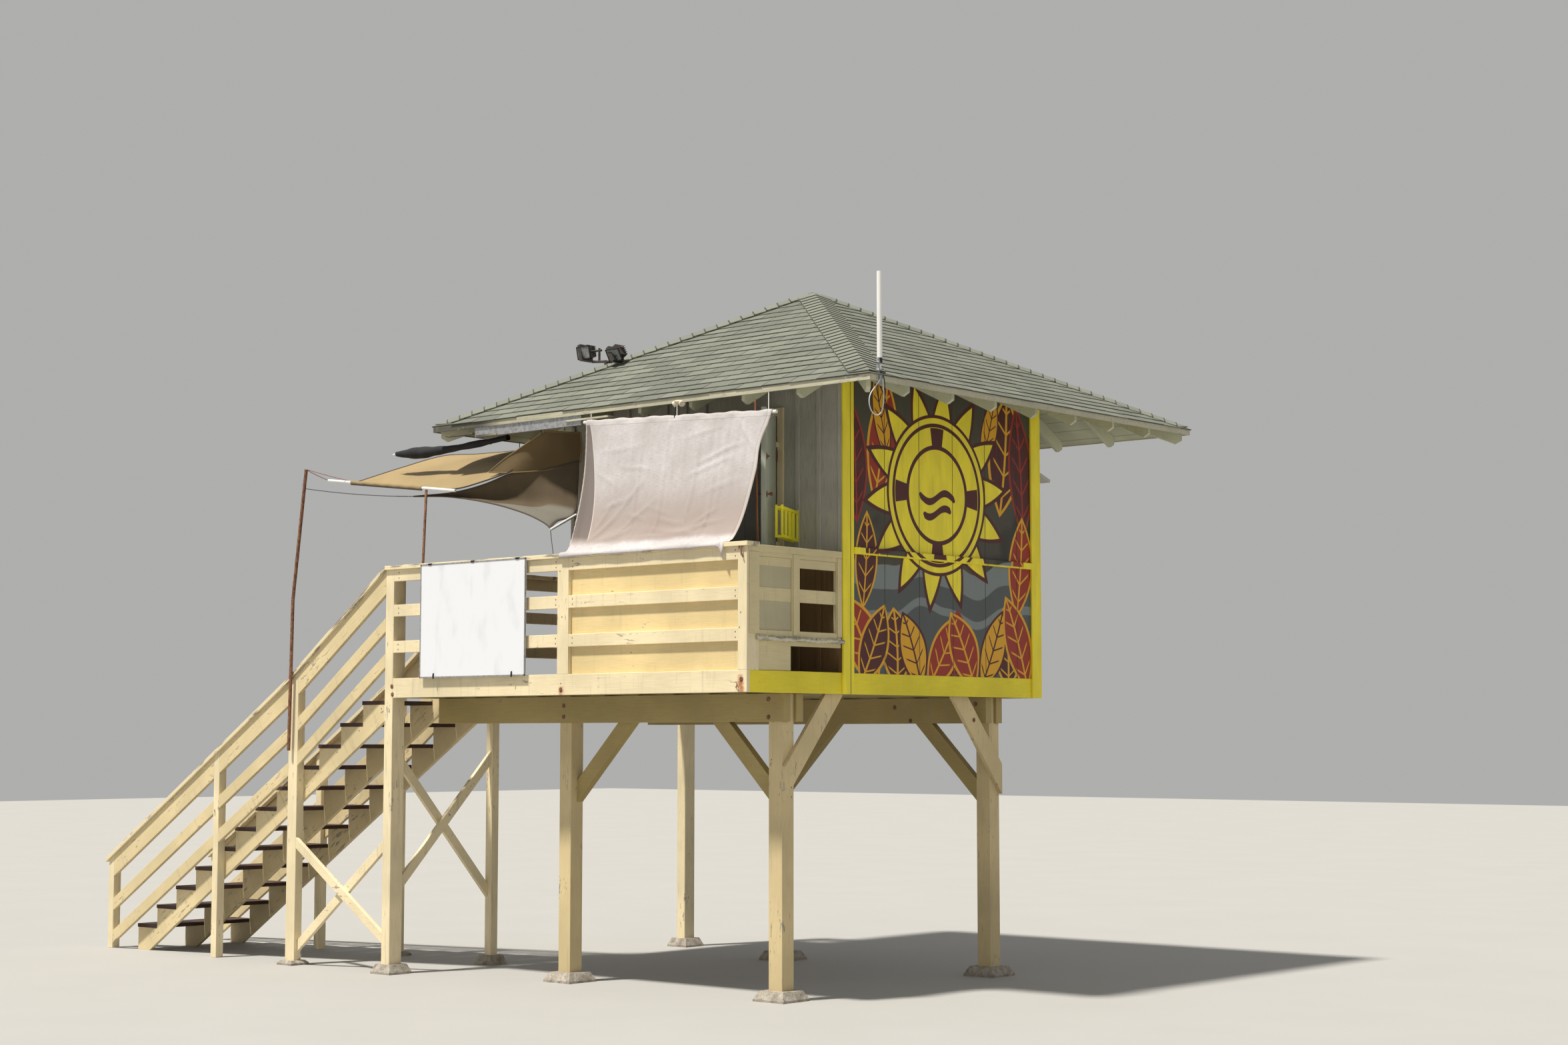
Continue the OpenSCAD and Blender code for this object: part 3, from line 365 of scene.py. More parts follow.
def linen():
    """Coarse pale cloth: slubs both ways, stitched hems, a strip folded back at its left in painted shade, and painted
    shade lower down.
    """
    f = Finish("pale_shade_cloth")
    uv = f.node("ShaderNodeUVMap", out="UV")
    across, down = f.parts(uv)[:2]
    slant = 0.155  # how fast the folded strip widens downwards

    def slubs(stretch, shift):
        return f.cloud(uv, 1.0, stretch, 4.0, 0.6, (shift, shift, 0))

    weft, warp = slubs((16, 260, 1), 3.0), slubs((300, 12, 1), 9.0)
    cloudy = slubs((2.2, 2.6, 1), 1.0)
    f.base = f.blend(cloudy.fade(0.3, 0.72), (0.47, 0.445, 0.445), (0.58, 0.560, 0.565))
    f.coat(weft.fade(0.46, 0.70) * 0.62, (0.33, 0.285, 0.265))
    f.coat(warp.fade(0.50, 0.74) * 0.50, (0.35, 0.305, 0.285))
    # Painted shade: the lower part of the cloth is darkened for the shade where it leans and creases.
    low = down.fade(0.62, 1.12) * (1 - down.fade(1.24, 1.30))
    f.coat(low * (0.60 + cloudy * 0.6), (0.33, 0.270, 0.240))
    # Painted shade: the strip folded back at the left is darkened, as it turns away from the light.
    turned = (1 - (across - down * slant).fade(0.028, 0.036)) * down.fade(0.15, 0.17) * (1 - down.fade(1.20, 1.26))
    f.coat(turned * 0.92, (0.155, 0.128, 0.115))
    # Painted highlight: a lighter line along the fold where the strip turns back.
    edge = 1 - abs(across - down * slant - 0.036).fade(0.004, 0.008)
    fold_highlight = edge * down.fade(0.15, 0.17) * (1 - down.fade(1.20, 1.26))
    f.coat(fold_highlight * 0.6, (0.62, 0.57, 0.54))
    left = 1 - across.fade(0.010, 0.014)
    right = across.fade(2.240, 2.244)
    f.coat((left * 0.6).either(right * 0.5), (0.56, 0.51, 0.47))
    stitch = (1 - abs(across - 2.232).fade(0.002, 0.004)).either(1 - abs(down - 0.170).fade(0.002, 0.004))
    f.coat(stitch * 0.5, (0.25, 0.21, 0.18))
    return f.finish(0.95, weft + warp + right, 0.0012)


def twisted_cord(name, colour):
    f = Finish(name)
    lay = f.node("ShaderNodeTexWave", {"wave_type": "BANDS", "bands_direction": "DIAGONAL"},
                 {"Vector": f.place, "Scale": 130.0})
    f.base = f.blend(lay, shade(colour, 0.6), colour)
    return f.finish(0.85, lay, 0.001)


def brown_cloth():
    """Brown shade cloth, with painted sunlight: lighter and greyer on its lower corner, where the sun reaches it."""
    f = Finish("brown_shade_cloth")
    across, down = f.on_cloth()
    fade = f.noise(3.0, detail=4.0, shift=2.5)
    warp, weft = (f.saw(way * 300) for way in (across, down))
    # Painted sunlight: the lower corner turns a lighter grey.
    lit = (across * 0.465 - down * 0.9 + fade * 0.08).fade(0.50, 0.53) * (1 - down.fade(0.30, 0.34))
    f.base = f.blend(fade.fade(0.3, 0.75), (0.085, 0.062, 0.034), (0.125, 0.092, 0.052))
    f.coat(lit, (0.165, 0.155, 0.125))
    f.coat((warp * weft * 4).fade(0.45, 0.9) * 0.4, (0.04, 0.03, 0.02))
    return f.finish(0.95, (1 - warp) + (1 - weft), 0.0006)


def dark_tarp():
    """Black coated cloth, a little shiny and dusty in patches."""
    f = Finish("dark_tarp")
    dust = f.noise(7.0, detail=5.0)
    weave = f.noise(160.0, detail=2.0)
    f.base = f.blend(dust.fade(0.4, 0.8), (0.008, 0.008, 0.010), (0.028, 0.027, 0.028))
    return f.finish(0.75 + dust * 0.2, weave, 0.0008)


def lamp_glass():
    """Pale lamp glass with dusty patches."""
    f = Finish("lamp_glass")
    dust = f.noise(30.0, detail=4.0)
    f.base = f.blend(dust.fade(0.4, 0.8), (0.16, 0.18, 0.20), (0.30, 0.30, 0.28))
    return f.finish(0.12 + dust * 0.2)


MURAL_Y = DECK_Y + 1.381
MURAL_Z = FLOOR_TOP
WALL_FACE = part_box("wall_right")[1].x
MAROON = (0.070, 0.008, 0.008)
GOLD = (0.70, 0.36, 0.012)
RED = (0.30, 0.022, 0.008)
SKY = (0.028, 0.026, 0.017)
SEA = (0.19, 0.22, 0.22)
DEEP = (0.075, 0.088, 0.090)
SUN = (1.22, 1.64)

# Leaves: foot across and up in metres, lean in degrees from upright, length, half width, colour, edge colour.
LEAVES = [
    (0.30, 1.50, 10, 1.16, 0.22, RED, GOLD), (0.06, 1.30, -4, 1.10, 0.17, MAROON, RED),
    (0.50, 1.86, -14, 0.84, 0.12, GOLD, MAROON), (2.18, 1.50, 6, 1.20, 0.28, MAROON, GOLD),
    (2.56, 1.30, -5, 1.30, 0.20, MAROON, RED), (1.90, 1.96, 18, 0.74, 0.13, GOLD, MAROON),
    (2.44, 0.56, 6, 0.98, 0.20, RED, GOLD), (0.14, 0.56, 4, 0.88, 0.16, MAROON, GOLD),
    (0.62, -0.12, -4, 0.72, 0.24, MAROON, GOLD), (1.42, -0.12, 8, 0.74, 0.24, MAROON, RED),
    (2.30, -0.12, -4, 0.80, 0.24, MAROON, GOLD),
    (0.34, -0.12, -30, 0.92, 0.24, RED, GOLD), (0.10, -0.10, 26, 0.80, 0.20, MAROON, GOLD),
    (0.98, -0.14, -22, 0.76, 0.20, GOLD, MAROON), (1.06, -0.12, 34, 0.82, 0.20, RED, GOLD),
    (1.78, -0.12, -28, 0.80, 0.22, RED, GOLD), (1.86, -0.12, 26, 0.84, 0.19, GOLD, MAROON),
    (2.62, -0.12, -22, 0.96, 0.21, RED, GOLD),
]


def side_painting(name, yellow_from=None):
    """A made-up beach picture: a sun behind a life ring, a swell below it, and broad leaves all round.

    It fills the wall's outer face. With yellow_from it is for the trims: yellow but for the strip across the wall."""
    f = Finish(name)
    across, up = f.y - MURAL_Y, f.z - MURAL_Z
    wander = f.noise(1.6, detail=2.0, shift=3.0) - 0.5
    brush = f.noise(9.0, (1, 1, 0.3), detail=6.0)
    chalk = f.noise(2.2, detail=4.0, shift=4.0)

    def leaf(foot_u, foot_w, lean, length, half, colour, edge):
        sin, cos = math.sin(math.radians(lean)), math.cos(math.radians(lean))
        du, dw = across - foot_u, up - foot_w
        s = (du * sin + dw * cos) / length
        t = abs((du * cos - dw * sin) / half + (s * s - s) * 0.5)
        depth = s * (1 - s) * 4 - t
        f.coat(depth.fade(0.0, 0.03), edge)
        f.coat(depth.fade(0.14, 0.17), colour)
        vein = f.saw(s * 6 - t * 1.1).fade(0.42, 0.45) * depth.fade(0.2, 0.3) * (1 - t.fade(0.55, 0.7))
        rib = 1 - t.fade(0.04, 0.07)
        f.coat(vein.either(rib) * depth.fade(0.10, 0.16), edge)

    swell = (across * 4.4).sine() * 0.07 + (across * 10.5 + 1.0).sine() * 0.022 + up + wander * 0.10
    f.base = f.blend((wander * 2 + 0.5 + up * 0.1).fade(0.35, 0.6), SKY, shade(SKY, 2.0))
    f.coat(1 - swell.fade(1.02, 1.03), SEA)
    f.coat(1 - swell.fade(0.80, 0.81), DEEP)
    f.coat(swell.fade(0.52, 0.53) * (1 - swell.fade(0.60, 0.61)), SEA)
    for row in LEAVES[:8]:
        leaf(*row)
    du, dw = across - SUN[0], up - SUN[1]
    radius = (du * du + dw * dw) ** 0.5
    turn = f.node("ShaderNodeMath", {"operation": "ARCTAN2"}, [dw, du]) / (2 * math.pi)
    ray = f.saw(turn * 14 + 14.25)
    flare = (1.02 - radius) * 1.25 - ray
    yellow = f.blend(brush.fade(0.35, 0.75), shade(YELLOW, 1.0), shade(YELLOW, 1.18))
    f.coat(flare.fade(-0.10, -0.085), MAROON)
    f.coat(flare.fade(0.0, 0.015), yellow)

    def discs(*rows):
        for reach, colour in rows:
            f.coat(1 - radius.fade(reach, reach + 0.005), colour)

    discs((0.735, MAROON), (0.705, yellow), (0.655, MAROON), (0.620, yellow))
    strap = 1 - f.saw(turn * 4 + 4.5).fade(0.10, 0.108)
    f.coat(strap * (1 - radius.fade(0.615, 0.620)), MAROON)
    discs((0.455, MAROON), (0.415, yellow))
    for drop, reach in ((0.02, 0.24), (0.16, 0.18)):
        wave = abs(dw - (du * 13).sine() * 0.045 + drop) + abs(du).fade(reach, reach + 0.12) * 0.2
        f.coat(1 - wave.fade(0.030, 0.036), MAROON)
    for row in LEAVES[8:]:
        leaf(*row)
    if yellow_from is not None:
        plain = (1 - up.fade(1.045, 1.055)).either(up.fade(1.135, 1.145))
        ends = (1 - across.fade(0.14, 0.15)).either(across.fade(yellow_from, yellow_from + 0.01))
        f.coat(plain.either(ends), yellow)
    groove = f.saw(across / 0.5 + 0.1).fade(0.489, 0.496)
    streak = f.noise(3.0, (6, 9, 0.7), detail=4.0, shift=1.3)
    f.coat(chalk.fade(0.62, 0.9) * 0.22, (0.30, 0.27, 0.20))
    f.coat(streak.fade(0.56, 0.8) * 0.22, (0.10, 0.09, 0.07))
    f.coat(groove * 0.8, (0.03, 0.024, 0.016))
    if yellow_from is None:
        inside = f.blend(streak.fade(0.3, 0.7), shade(WALL_GREY, 0.7), WALL_GREY)
        f.base = f.blend(f.x.fade(WALL_FACE - 0.006, WALL_FACE - 0.003), inside, f.base)
    return f.finish(0.45 + brush * 0.2, brush * 0.3 - groove * 2.0, 0.003)


BOLT_STAINS = [(-4.54, 2.60), (-4.54, 2.72), (-2.20, 2.63), (-0.06, 2.64), (-0.07, 2.70)]
finishes = {
    **{"cream_" + axis: painted_wood("cream_paint_" + axis, CREAM, axis) for axis in "xyz"},
    "rim_cream": painted_wood("rim_cream", CREAM, "x", stains=BOLT_STAINS),
    # Painted shade: past the deck's right edge the infill turns a darker cream, for the shade in the side frame's
    # recesses.
    "panel": painted_wood("panel_cream", PANEL_CREAM, "x", worn=0.1, grime=0.2,
                          other=("x", DECK_X - 0.062, DECK_X - 0.058, (0.50, 0.46, 0.30))),
    # Painted shade: the side frame gets a darker cream than the front, for the shade on that side.
    "side_cream": painted_wood("side_cream", (0.66, 0.57, 0.33), "y", worn=0.3),
    # Painted shade: the posts get a darker cream than the boards above, for the shade under the tower.
    "post_cream": painted_wood("post_cream", (0.63, 0.51, 0.28), "z", worn=0.42),
    # Painted shade: beams and joists get a darker, browner cream than the rest, for the shade under the deck.
    "beam_cream": painted_wood("beam_cream", (0.40, 0.31, 0.12), "x", worn=0.2),
    "joist_cream": painted_wood("joist_cream", (0.40, 0.33, 0.15), "y", worn=0.2),
    "stair_cream": painted_wood("stair_cream", (0.69, 0.57, 0.33), "x", lean=STAIR_PITCH, worn=0.55),
    "handrail": bare_wood("handrail_paint", "x", paint=shade(CREAM, 0.88), left=0.72, lean=STAIR_PITCH),
    "porch_wall": painted_wood("porch_siding", PORCH_BROWN, "z", worn=0.0, grime=0.3,
                               other=("z", *BROWN_ENDS, (0.52, 0.51, 0.46))),
    "yellow": painted_wood("yellow_paint", YELLOW, "z", worn=0.0, grime=0.12),
    # Painted light: the rack's yellow is brighter than the trim yellow, so that it looks sunlit in the shade under the
    # eave.
    "rack_yellow": painted_wood("rack_yellow", (0.95, 0.86, 0.03), "z", worn=0.0, grime=0.05),
    "yellow_rim": painted_wood("yellow_rim_paint", YELLOW, "y", worn=0.0, grime=0.12),
    "painting": side_painting("side_painting"),
    "trims": side_painting("trim_painting", 2.52),
    "grey_back": painted_wood("grey_back_siding", WALL_GREY, "z", worn=0.1, grime=0.35, boards=("x", 0.2)),
    "grey_left": painted_wood("grey_left_siding", PORCH_BROWN, "z", worn=0.0, grime=0.35, boards=("y", 0.2),
                              other=("z", *BROWN_ENDS, WALL_GREY)),
    "door": painted_wood("door_paint", (0.50, 0.53, 0.44), "z", worn=0.2),
    "sage": painted_wood("sage_paint", SAGE, "x", worn=0.2),
    "edge": painted_wood("eave_edge_paint", (0.085, 0.080, 0.062), "x", worn=0.5,
                         other=("x", DECK_X - 3.75, DECK_X - 3.30, (0.52, 0.50, 0.37))),
    "cap": bare_wood("weathered_cap", "x", paint=shade(CREAM, 0.95), left=0.75),
    "deck": bare_wood("deck_boards", "x", paint=(0.20, 0.15, 0.11), left=0.5),
    "treads": worn_treads(),
    "shingle": mineral_shingle(),
    "roof_deck": roof_deck(),
    "concrete": rough_concrete(),
    "rust": rusty_tube(),
    "metal": dull_metal("galvanised_steel", (0.42, 0.43, 0.44)),
    "lamp": dull_metal("lamp_housing", (0.10, 0.085, 0.075)),
    "white": white_enamel("white_enamel"),
    "board_face": white_enamel("board_face", (0.76, 0.78, 0.82)),
    "shade": linen(),
    "tan": woven("tan_shade_cloth", (0.37, 0.27, 0.125), (0.21, 0.145, 0.07)),
    "brown": brown_cloth(),
    "flap": woven("shaded_tan_cloth", (0.130, 0.085, 0.032), (0.06, 0.04, 0.02)),
    "rotten": bare_wood("rotten_wood", "y", colour=(0.34, 0.33, 0.30), paint=(0.60, 0.56, 0.42), left=0.35),
    "enamel_cream": white_enamel("cream_enamel", (0.62, 0.56, 0.42)),
    "cane": bare_wood("brown_cane", "z", colour=(0.20, 0.085, 0.035)),
    "glass": lamp_glass(),
    "tan_hem": twisted_cord("tan_sail_hem", (0.07, 0.05, 0.04)),
    "flap_hem": twisted_cord("flap_hem", (0.30, 0.21, 0.09)),
    "brown_hem": twisted_cord("brown_sail_hem", (0.10, 0.075, 0.05)),
    "tarp": dark_tarp(),
    "rope": twisted_cord("faded_rope", (0.50, 0.26, 0.27)),
    "grey_rope": twisted_cord("grey_line", (0.12, 0.11, 0.12)),
    "white_cable": white_enamel("white_cable", (0.60, 0.60, 0.60)),
    "black": white_enamel("black_cable", (0.012, 0.012, 0.014)),
    "bolt": rusty_tube(),
}

NODE_FINISH = {
    "concrete": ["footings"],
    "post_cream": ["post_front_right", "post_back_right", "post_front_middle", "post_back_middle", "braces_across"],
    "cream_z": ["corner_posts", "rail_posts", "stair_posts", "door_frame"],
    "side_cream": ["side_frame"],
    "beam_cream": ["beam_front", "beam_back", "braces_along"],
    "cream_x": ["rail_boards", "cross_ties"],
    "stair_cream": ["stair_rails", "stringers"],
    "handrail": ["handrails"],
    "joist_cream": ["joists"],
    "cream_y": ["rim_back_left"],
    "rim_cream": ["rim_front"],
    "panel": ["infill_panels"],
    "yellow": ["slatted_rack"],
    "trims": ["wall_trims"],
    "painting": ["wall_right"],
    "yellow_rim": ["rim_right"],
    "porch_wall": ["wall_front_right", "wall_front_left", "wall_over_door", "wall_battens"],
    "grey_back": ["wall_back", "window_shutter"],
    "grey_left": ["wall_left"],
    "door": ["door_leaf"],
    "sage": ["rafters"],
    "edge": ["eave_edge"],
    "cap": ["rail_cap"],
    "deck": ["floor"],
    "treads": ["treads"],
    "roof_deck": ["roof_front", "roof_right", "roof_back", "roof_left", "hip_caps"],
    "rust": ["sail_poles"],
    "metal": ["eave_channel", "shutter_props"],
    "lamp": ["floodlights"],
    "white": ["antenna", "white_tubes"],
    "board_face": ["notice_board"],
    "shade": ["shade_cloth"],
    "tan": ["tan_sail"],
    "brown": ["brown_sail"],
    "tarp": ["rolled_tarp"],
    "rope": ["tie_ropes"],
}


def wear(piece, finish):
    piece.data.materials.clear()
    piece.data.materials.append(finishes[finish])


SAWN = ["post_front_right", "post_back_right", "post_front_middle", "post_back_middle", "corner_posts", "beam_front",
        "beam_back", "braces_across", "braces_along", "rim_front", "rim_right", "rim_back_left", "wall_trims",
        "wall_battens", "door_leaf", "window_shutter", "rafters", "rail_posts", "rail_cap", "rail_boards",
        "side_frame", "stringers", "treads", "stair_posts", "handrails", "stair_rails", "cross_ties", "slatted_rack"]


def ease_edges(piece, width=0.003):
    """Rounds a timber's sharp edges: its loose triangles are welded, then bevelled."""
    weld = piece.modifiers.new("weld", "WELD")
    weld.merge_threshold = 0.0001
    bevel = piece.modifiers.new("eased_edges", "BEVEL")
    bevel.width, bevel.segments = width, 1
    bevel.limit_method, bevel.angle_limit = "ANGLE", math.radians(40)


for finish, names in NODE_FINISH.items():
    for name in names:
        wear(nodes[name], finish)
for name in SAWN:
    ease_edges(nodes[name])


# ---- Making pieces ----


def add_piece(name, mesh, finish=None, body="tower", slot=None, stands_for=()):
    """Puts a finished mesh into the scene, riding on its body."""
    piece = in_scene(name, mesh)
    if finish:
        wear(piece, finish)
    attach(piece, body)
    if stands_for:
        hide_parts(*stands_for)
    return piece


def mesh_of(name, points, faces):
    mesh = bpy.data.meshes.new(name)
    mesh.from_pydata([tuple(p) for p in points], [], faces)
    mesh.update()
    return mesh


def grown(name, build, sizes, seeds=()):
    """Runs a Geometry Nodes tree once and returns its result as a plain mesh.

    build(graph, given) gets the graph and its named inputs, and returns the geometry wire.
    seeds are (point, facing) pairs, which the tree gets as points with a "facing" attribute."""
    tree = bpy.data.node_groups.new(name, "GeometryNodeTree")
    tree.interface.new_socket(name="Geometry", in_out="INPUT", socket_type="NodeSocketGeometry")
    kinds = {int: "NodeSocketInt", float: "NodeSocketFloat", bpy.types.Material: "NodeSocketMaterial"}
    sockets = {
        key: tree.interface.new_socket(name=key, in_out="INPUT", socket_type=kinds[type(value)])
        for key, value in sizes.items()
    }
    tree.interface.new_socket(name="Geometry", in_out="OUTPUT", socket_type="NodeSocketGeometry")
    graph = Graph(tree)
    entry = tree.nodes.new("NodeGroupInput")
    given = {s.name: Wire(graph, s) for s in entry.outputs if s.name}
    result = build(graph, given)
    finish = given.get("Finish")
    result = graph.node("GeometryNodeRealizeInstances", {}, [result])
    if finish:
        result = graph.node("GeometryNodeSetMaterial", {}, {"Geometry": result, "Material": finish})
    exit_node = tree.nodes.new("NodeGroupOutput")
    graph.feed(exit_node.inputs[0], result)
    seed_mesh = bpy.data.meshes.new(name + "_seed")
    seed_mesh.from_pydata([point for point, _ in seeds], [], [])
    if seeds:
        facing = seed_mesh.attributes.new("facing", "FLOAT_VECTOR", "POINT")
        facing.data.foreach_set("vector", [c for _, way in seeds for c in way])
    seed_object = in_scene(name, seed_mesh)
    modifier = seed_object.modifiers.new(name, "NODES")
    modifier.node_group = tree
    for key, value in sizes.items():
        modifier[sockets[key].identifier] = value
    evaluated = seed_object.evaluated_get(bpy.context.evaluated_depsgraph_get())
    mesh = bpy.data.meshes.new_from_object(evaluated)
    bpy.data.objects.remove(seed_object)
    return mesh


def vector(graph, x=0.0, y=0.0, z=0.0):
    return graph.node("ShaderNodeCombineXYZ", {}, [x, y, z])


def joined(name, meshes, cuts=None):
    """One mesh out of several (mesh, matrix) pairs, each trimmed by its planes (point, normal pointing off)."""
    whole = bmesh.new()
    for index, (mesh, place) in enumerate(meshes):
        part = bmesh.new()
        part.from_mesh(mesh)
        part.transform(place)
        for point, normal in (cuts[index] if cuts else ()):
            bmesh.ops.bisect_plane(part, geom=part.verts[:] + part.edges[:] + part.faces[:],
                                   plane_co=point, plane_no=normal, clear_outer=True)
            bmesh.ops.holes_fill(part, edges=[e for e in part.edges if e.is_boundary])
        step = bpy.data.meshes.new("step")  # from_mesh reads only stored meshes
        part.to_mesh(step)
        part.free()
        whole.from_mesh(step)
        bpy.data.meshes.remove(step)
    result = bpy.data.meshes.new(name)
    whole.to_mesh(result)
    whole.free()
    return result


# ---- Sweeps, sheets and boards ----


def solid_mesh(name, parts):
    """One closed mesh out of (points, faces) parts, its faces turned outwards."""
    whole = bmesh.new()
    for points, faces in parts:
        made = [whole.verts.new(p) for p in points]
        for face in faces:
            whole.faces.new([made[i] for i in face])
    bmesh.ops.recalc_face_normals(whole, faces=whole.faces)
    mesh = bpy.data.meshes.new(name)
    whole.to_mesh(mesh)
    whole.free()
    return mesh


def add_solid(name, parts, finish, **where):
    return add_piece(name, solid_mesh(name, parts), finish, **where)


def smooth_route(stations, count):
    """A Catmull-Rom curve through the stations, as evenly spread points."""
    pts = [Vector(p) for p in stations]
    pts = [pts[0] * 2 - pts[1]] + pts + [pts[-1] * 2 - pts[-2]]
    fine = []
    for i in range(1, len(pts) - 2):
        a, b, c, d = pts[i - 1:i + 3]
        for k in range(16):
            t = k / 16
            bend, twist = 2 * a - 5 * b + 4 * c - d, 3 * b - a - 3 * c + d
            fine.append(0.5 * (2 * b + (c - a) * t + bend * t ** 2 + twist * t ** 3))
    fine.append(pts[-2])
    reach = [0.0]
    for a, b in zip(fine, fine[1:]):
        reach.append(reach[-1] + (b - a).length)
    spread, j = [], 0
    for k in range(count):
        want = reach[-1] * k / (count - 1)
        while j < len(fine) - 2 and reach[j + 1] < want:
            j += 1
        gap = reach[j + 1] - reach[j] or 1.0
        spread.append(fine[j].lerp(fine[j + 1], min(1.0, max(0.0, (want - reach[j]) / gap))))
    return spread


def route_length(points):
    return sum((b - a).length for a, b in zip(points, points[1:]))


def tube_faces(rings, sides):
    """The faces that join rings of points into a tube closed at both ends."""
    faces = []
    for i in range(rings - 1):
        for k in range(sides):
            a, b = i * sides + k, i * sides + (k + 1) % sides
            faces.append((a, b, b + sides, a + sides))
    return faces + [tuple(range(sides)), tuple(range((rings - 1) * sides, rings * sides))]


def bar(route, radius, sides=8):
    """A closed round bar along a route. radius is one number, or one for each point."""
    points = [Vector(p) for p in route]
    radii = radius if isinstance(radius, list) else [radius] * len(points)
    first = (points[1] - points[0]).normalized()
    side = first.cross(Vector((0.31, 0.17, 1.0))).normalized()
    verts = []
    for i, p in enumerate(points):
        way = (points[min(i + 1, len(points) - 1)] - points[max(i - 1, 0)]).normalized()
        side = (side - way * side.dot(way)).normalized()
        up = way.cross(side)
        for k in range(sides):
            turn = 2 * math.pi * k / sides
            verts.append(p + (side * math.cos(turn) + up * math.sin(turn)) * radii[i])
    return verts, tube_faces(len(points), sides)


def plank(low, high):
    """A board between its lowest and highest corners."""
    (x0, y0, z0), (x1, y1, z1) = low, high
    verts = [Vector(p) for p in ((x0, y0, z0), (x1, y0, z0), (x1, y1, z0), (x0, y1, z0),
                                 (x0, y0, z1), (x1, y0, z1), (x1, y1, z1), (x0, y1, z1))]
    return verts, [(0, 3, 2, 1), (4, 5, 6, 7), (0, 1, 5, 4), (1, 2, 6, 5), (2, 3, 7, 6), (3, 0, 4, 7)]


def deck_plank(x0, x1, y0, y1, z0, z1):
    return plank(at(x0, y0, z0), at(x1, y1, z1))


def placed(part, place):
    verts, faces = part
    return [place @ v for v in verts], faces


def lathe(profile, place):
    """A turned shape from (radius, height) steps, its axis along the place's Z."""
    verts, sides = [], 20
    for r, h in profile:
        for k in range(sides):
            turn = 2 * math.pi * k / sides
            verts.append(place @ Vector((r * math.cos(turn), r * math.sin(turn), h)))
    return verts, tube_faces(len(profile), sides)


def aim(point, way):
    """A place at a point with its Z along a direction."""
    return Matrix.Translation(point) @ Vector(way).to_track_quat("Z", "Y").to_matrix().to_4x4()


def sheet_grid(name, surface, across, down, size):
    """A cloth grid from surface(u, v), with its own UV map in metres of the flat cut."""
    points = [surface(i / across, j / down) for j in range(down + 1) for i in range(across + 1)]
    faces = []
    for j in range(down):
        for i in range(across):
            a = j * (across + 1) + i
            faces.append((a, a + 1, a + across + 2, a + across + 1))
    mesh = mesh_of(name, points, faces)
    layer = mesh.uv_layers.new(name="cut")
    for poly in mesh.polygons:
        for loop in poly.loop_indices:
            j, i = divmod(mesh.loops[loop].vertex_index, across + 1)
            layer.data[loop].uv = (size[0] * i / across, size[1] * j / down)
    mesh.shade_smooth()
    return mesh


def coons(bottom, right, top, left):
    """A patch between four edge curves; bottom and top run left to right, left and right run up."""
    b, r, t, l = (smooth_route(c, 60) for c in (bottom, right, top, left))

    def along(curve, s):
        k = min(max(s, 0.0), 1.0) * (len(curve) - 1)
        i = min(int(k), len(curve) - 2)
        return curve[i].lerp(curve[i + 1], k - i)

    def surface(u, v):
        ruled = along(b, u) * (1 - v) + along(t, u) * v + along(l, v) * (1 - u) + along(r, v) * u
        return ruled - (b[0] * (1 - u) * (1 - v) + b[-1] * u * (1 - v) + t[0] * (1 - u) * v + t[-1] * u * v)

    return surface


def thicken(piece, by):
    solid = piece.modifiers.new("cloth_thickness", "SOLIDIFY")
    solid.thickness = by
    solid.offset = 0.0


# ---- Cords ----


def add_cord(name, stations, diameter, finish, stiffness="limp", lay="taut", count=24, **replace):
    """A rope or cable on one open spline through its stations, in deck measures."""
    points = smooth_route([at(*p) for p in stations], count)
    curve = bpy.data.curves.new(name, "CURVE")
    curve.dimensions = "3D"
    curve.bevel_depth = diameter / 2
    curve.bevel_resolution = 2
    curve.use_fill_caps = True
    spline = curve.splines.new("POLY")
    spline.points.add(len(points) - 1)
    for point, place in zip(spline.points, points):
        point.co = (*place, 1.0)
    piece = add_piece(name, curve, finish, **replace)
    round(route_length(points), 3)
    return piece


def sagging(start, end, sag, steps=8):
    """Stations of a rope between two points that hangs down by sag in its middle."""
    a, b = Vector(start), Vector(end)
    shares = [k / steps for k in range(steps + 1)]
    return [tuple(a.lerp(b, t) - up_by(sag * 4 * t * (1 - t))) for t in shares]


PIPE_LEFT, PIPE_RIGHT = (-5.804, 0.250, 4.754), (-3.856, 0.200, 4.521)
POLE_ENDS = (-2.290, -0.034)
CLOTH_Y = 0.380


def pole_z(x):
    """Height of the cloth pole's middle line."""
    return 5.0514 - 0.0434 * (x - POLE_ENDS[0])


add_cord("sail_rope", sagging((-5.790, -0.0245, 4.832), (-5.8086, 0.248, 4.7575), 0.004), 0.008, "rope",
         stands_for=("tie_ropes",))
add_cord("sail_rope_long", sagging((-5.787, -0.0240, 4.838), (-5.449, 0.300, 4.720), 0.006), 0.008, "rope")
add_cord("thin_line", sagging((-5.7976, -0.0374, 4.650), (-4.5865, 0.2966, 4.5202), 0.018, 12), 0.008, "grey_rope")
add_cord("hook_tie", sagging((-4.377, 1.497, 5.0553), (-4.377, 1.497, 5.1277), 0.0), 0.008, "black", count=15)
add_cord("rail_tie", sagging((-2.4883, 0.1298, 4.0667), (-2.375, 0.060, 3.833), 0.004), 0.008, "grey_rope")
add_cord("aerial_loop", [(1.000, 0.515, 5.175), (1.024, 0.497, 5.150), (1.034, 0.440, 5.090), (1.034, 0.360, 5.010),
                         (1.034, 0.338, 4.940), (1.034, 0.362, 4.872), (1.034, 0.425, 4.836), (1.034, 0.492, 4.862),
                         (1.034, 0.526, 4.950), (1.034, 0.528, 5.050), (1.024, 0.524, 5.135), (1.000, 0.520, 5.172)],
         0.009, "white_cable", stiffness="medium", lay="hanging", count=36)
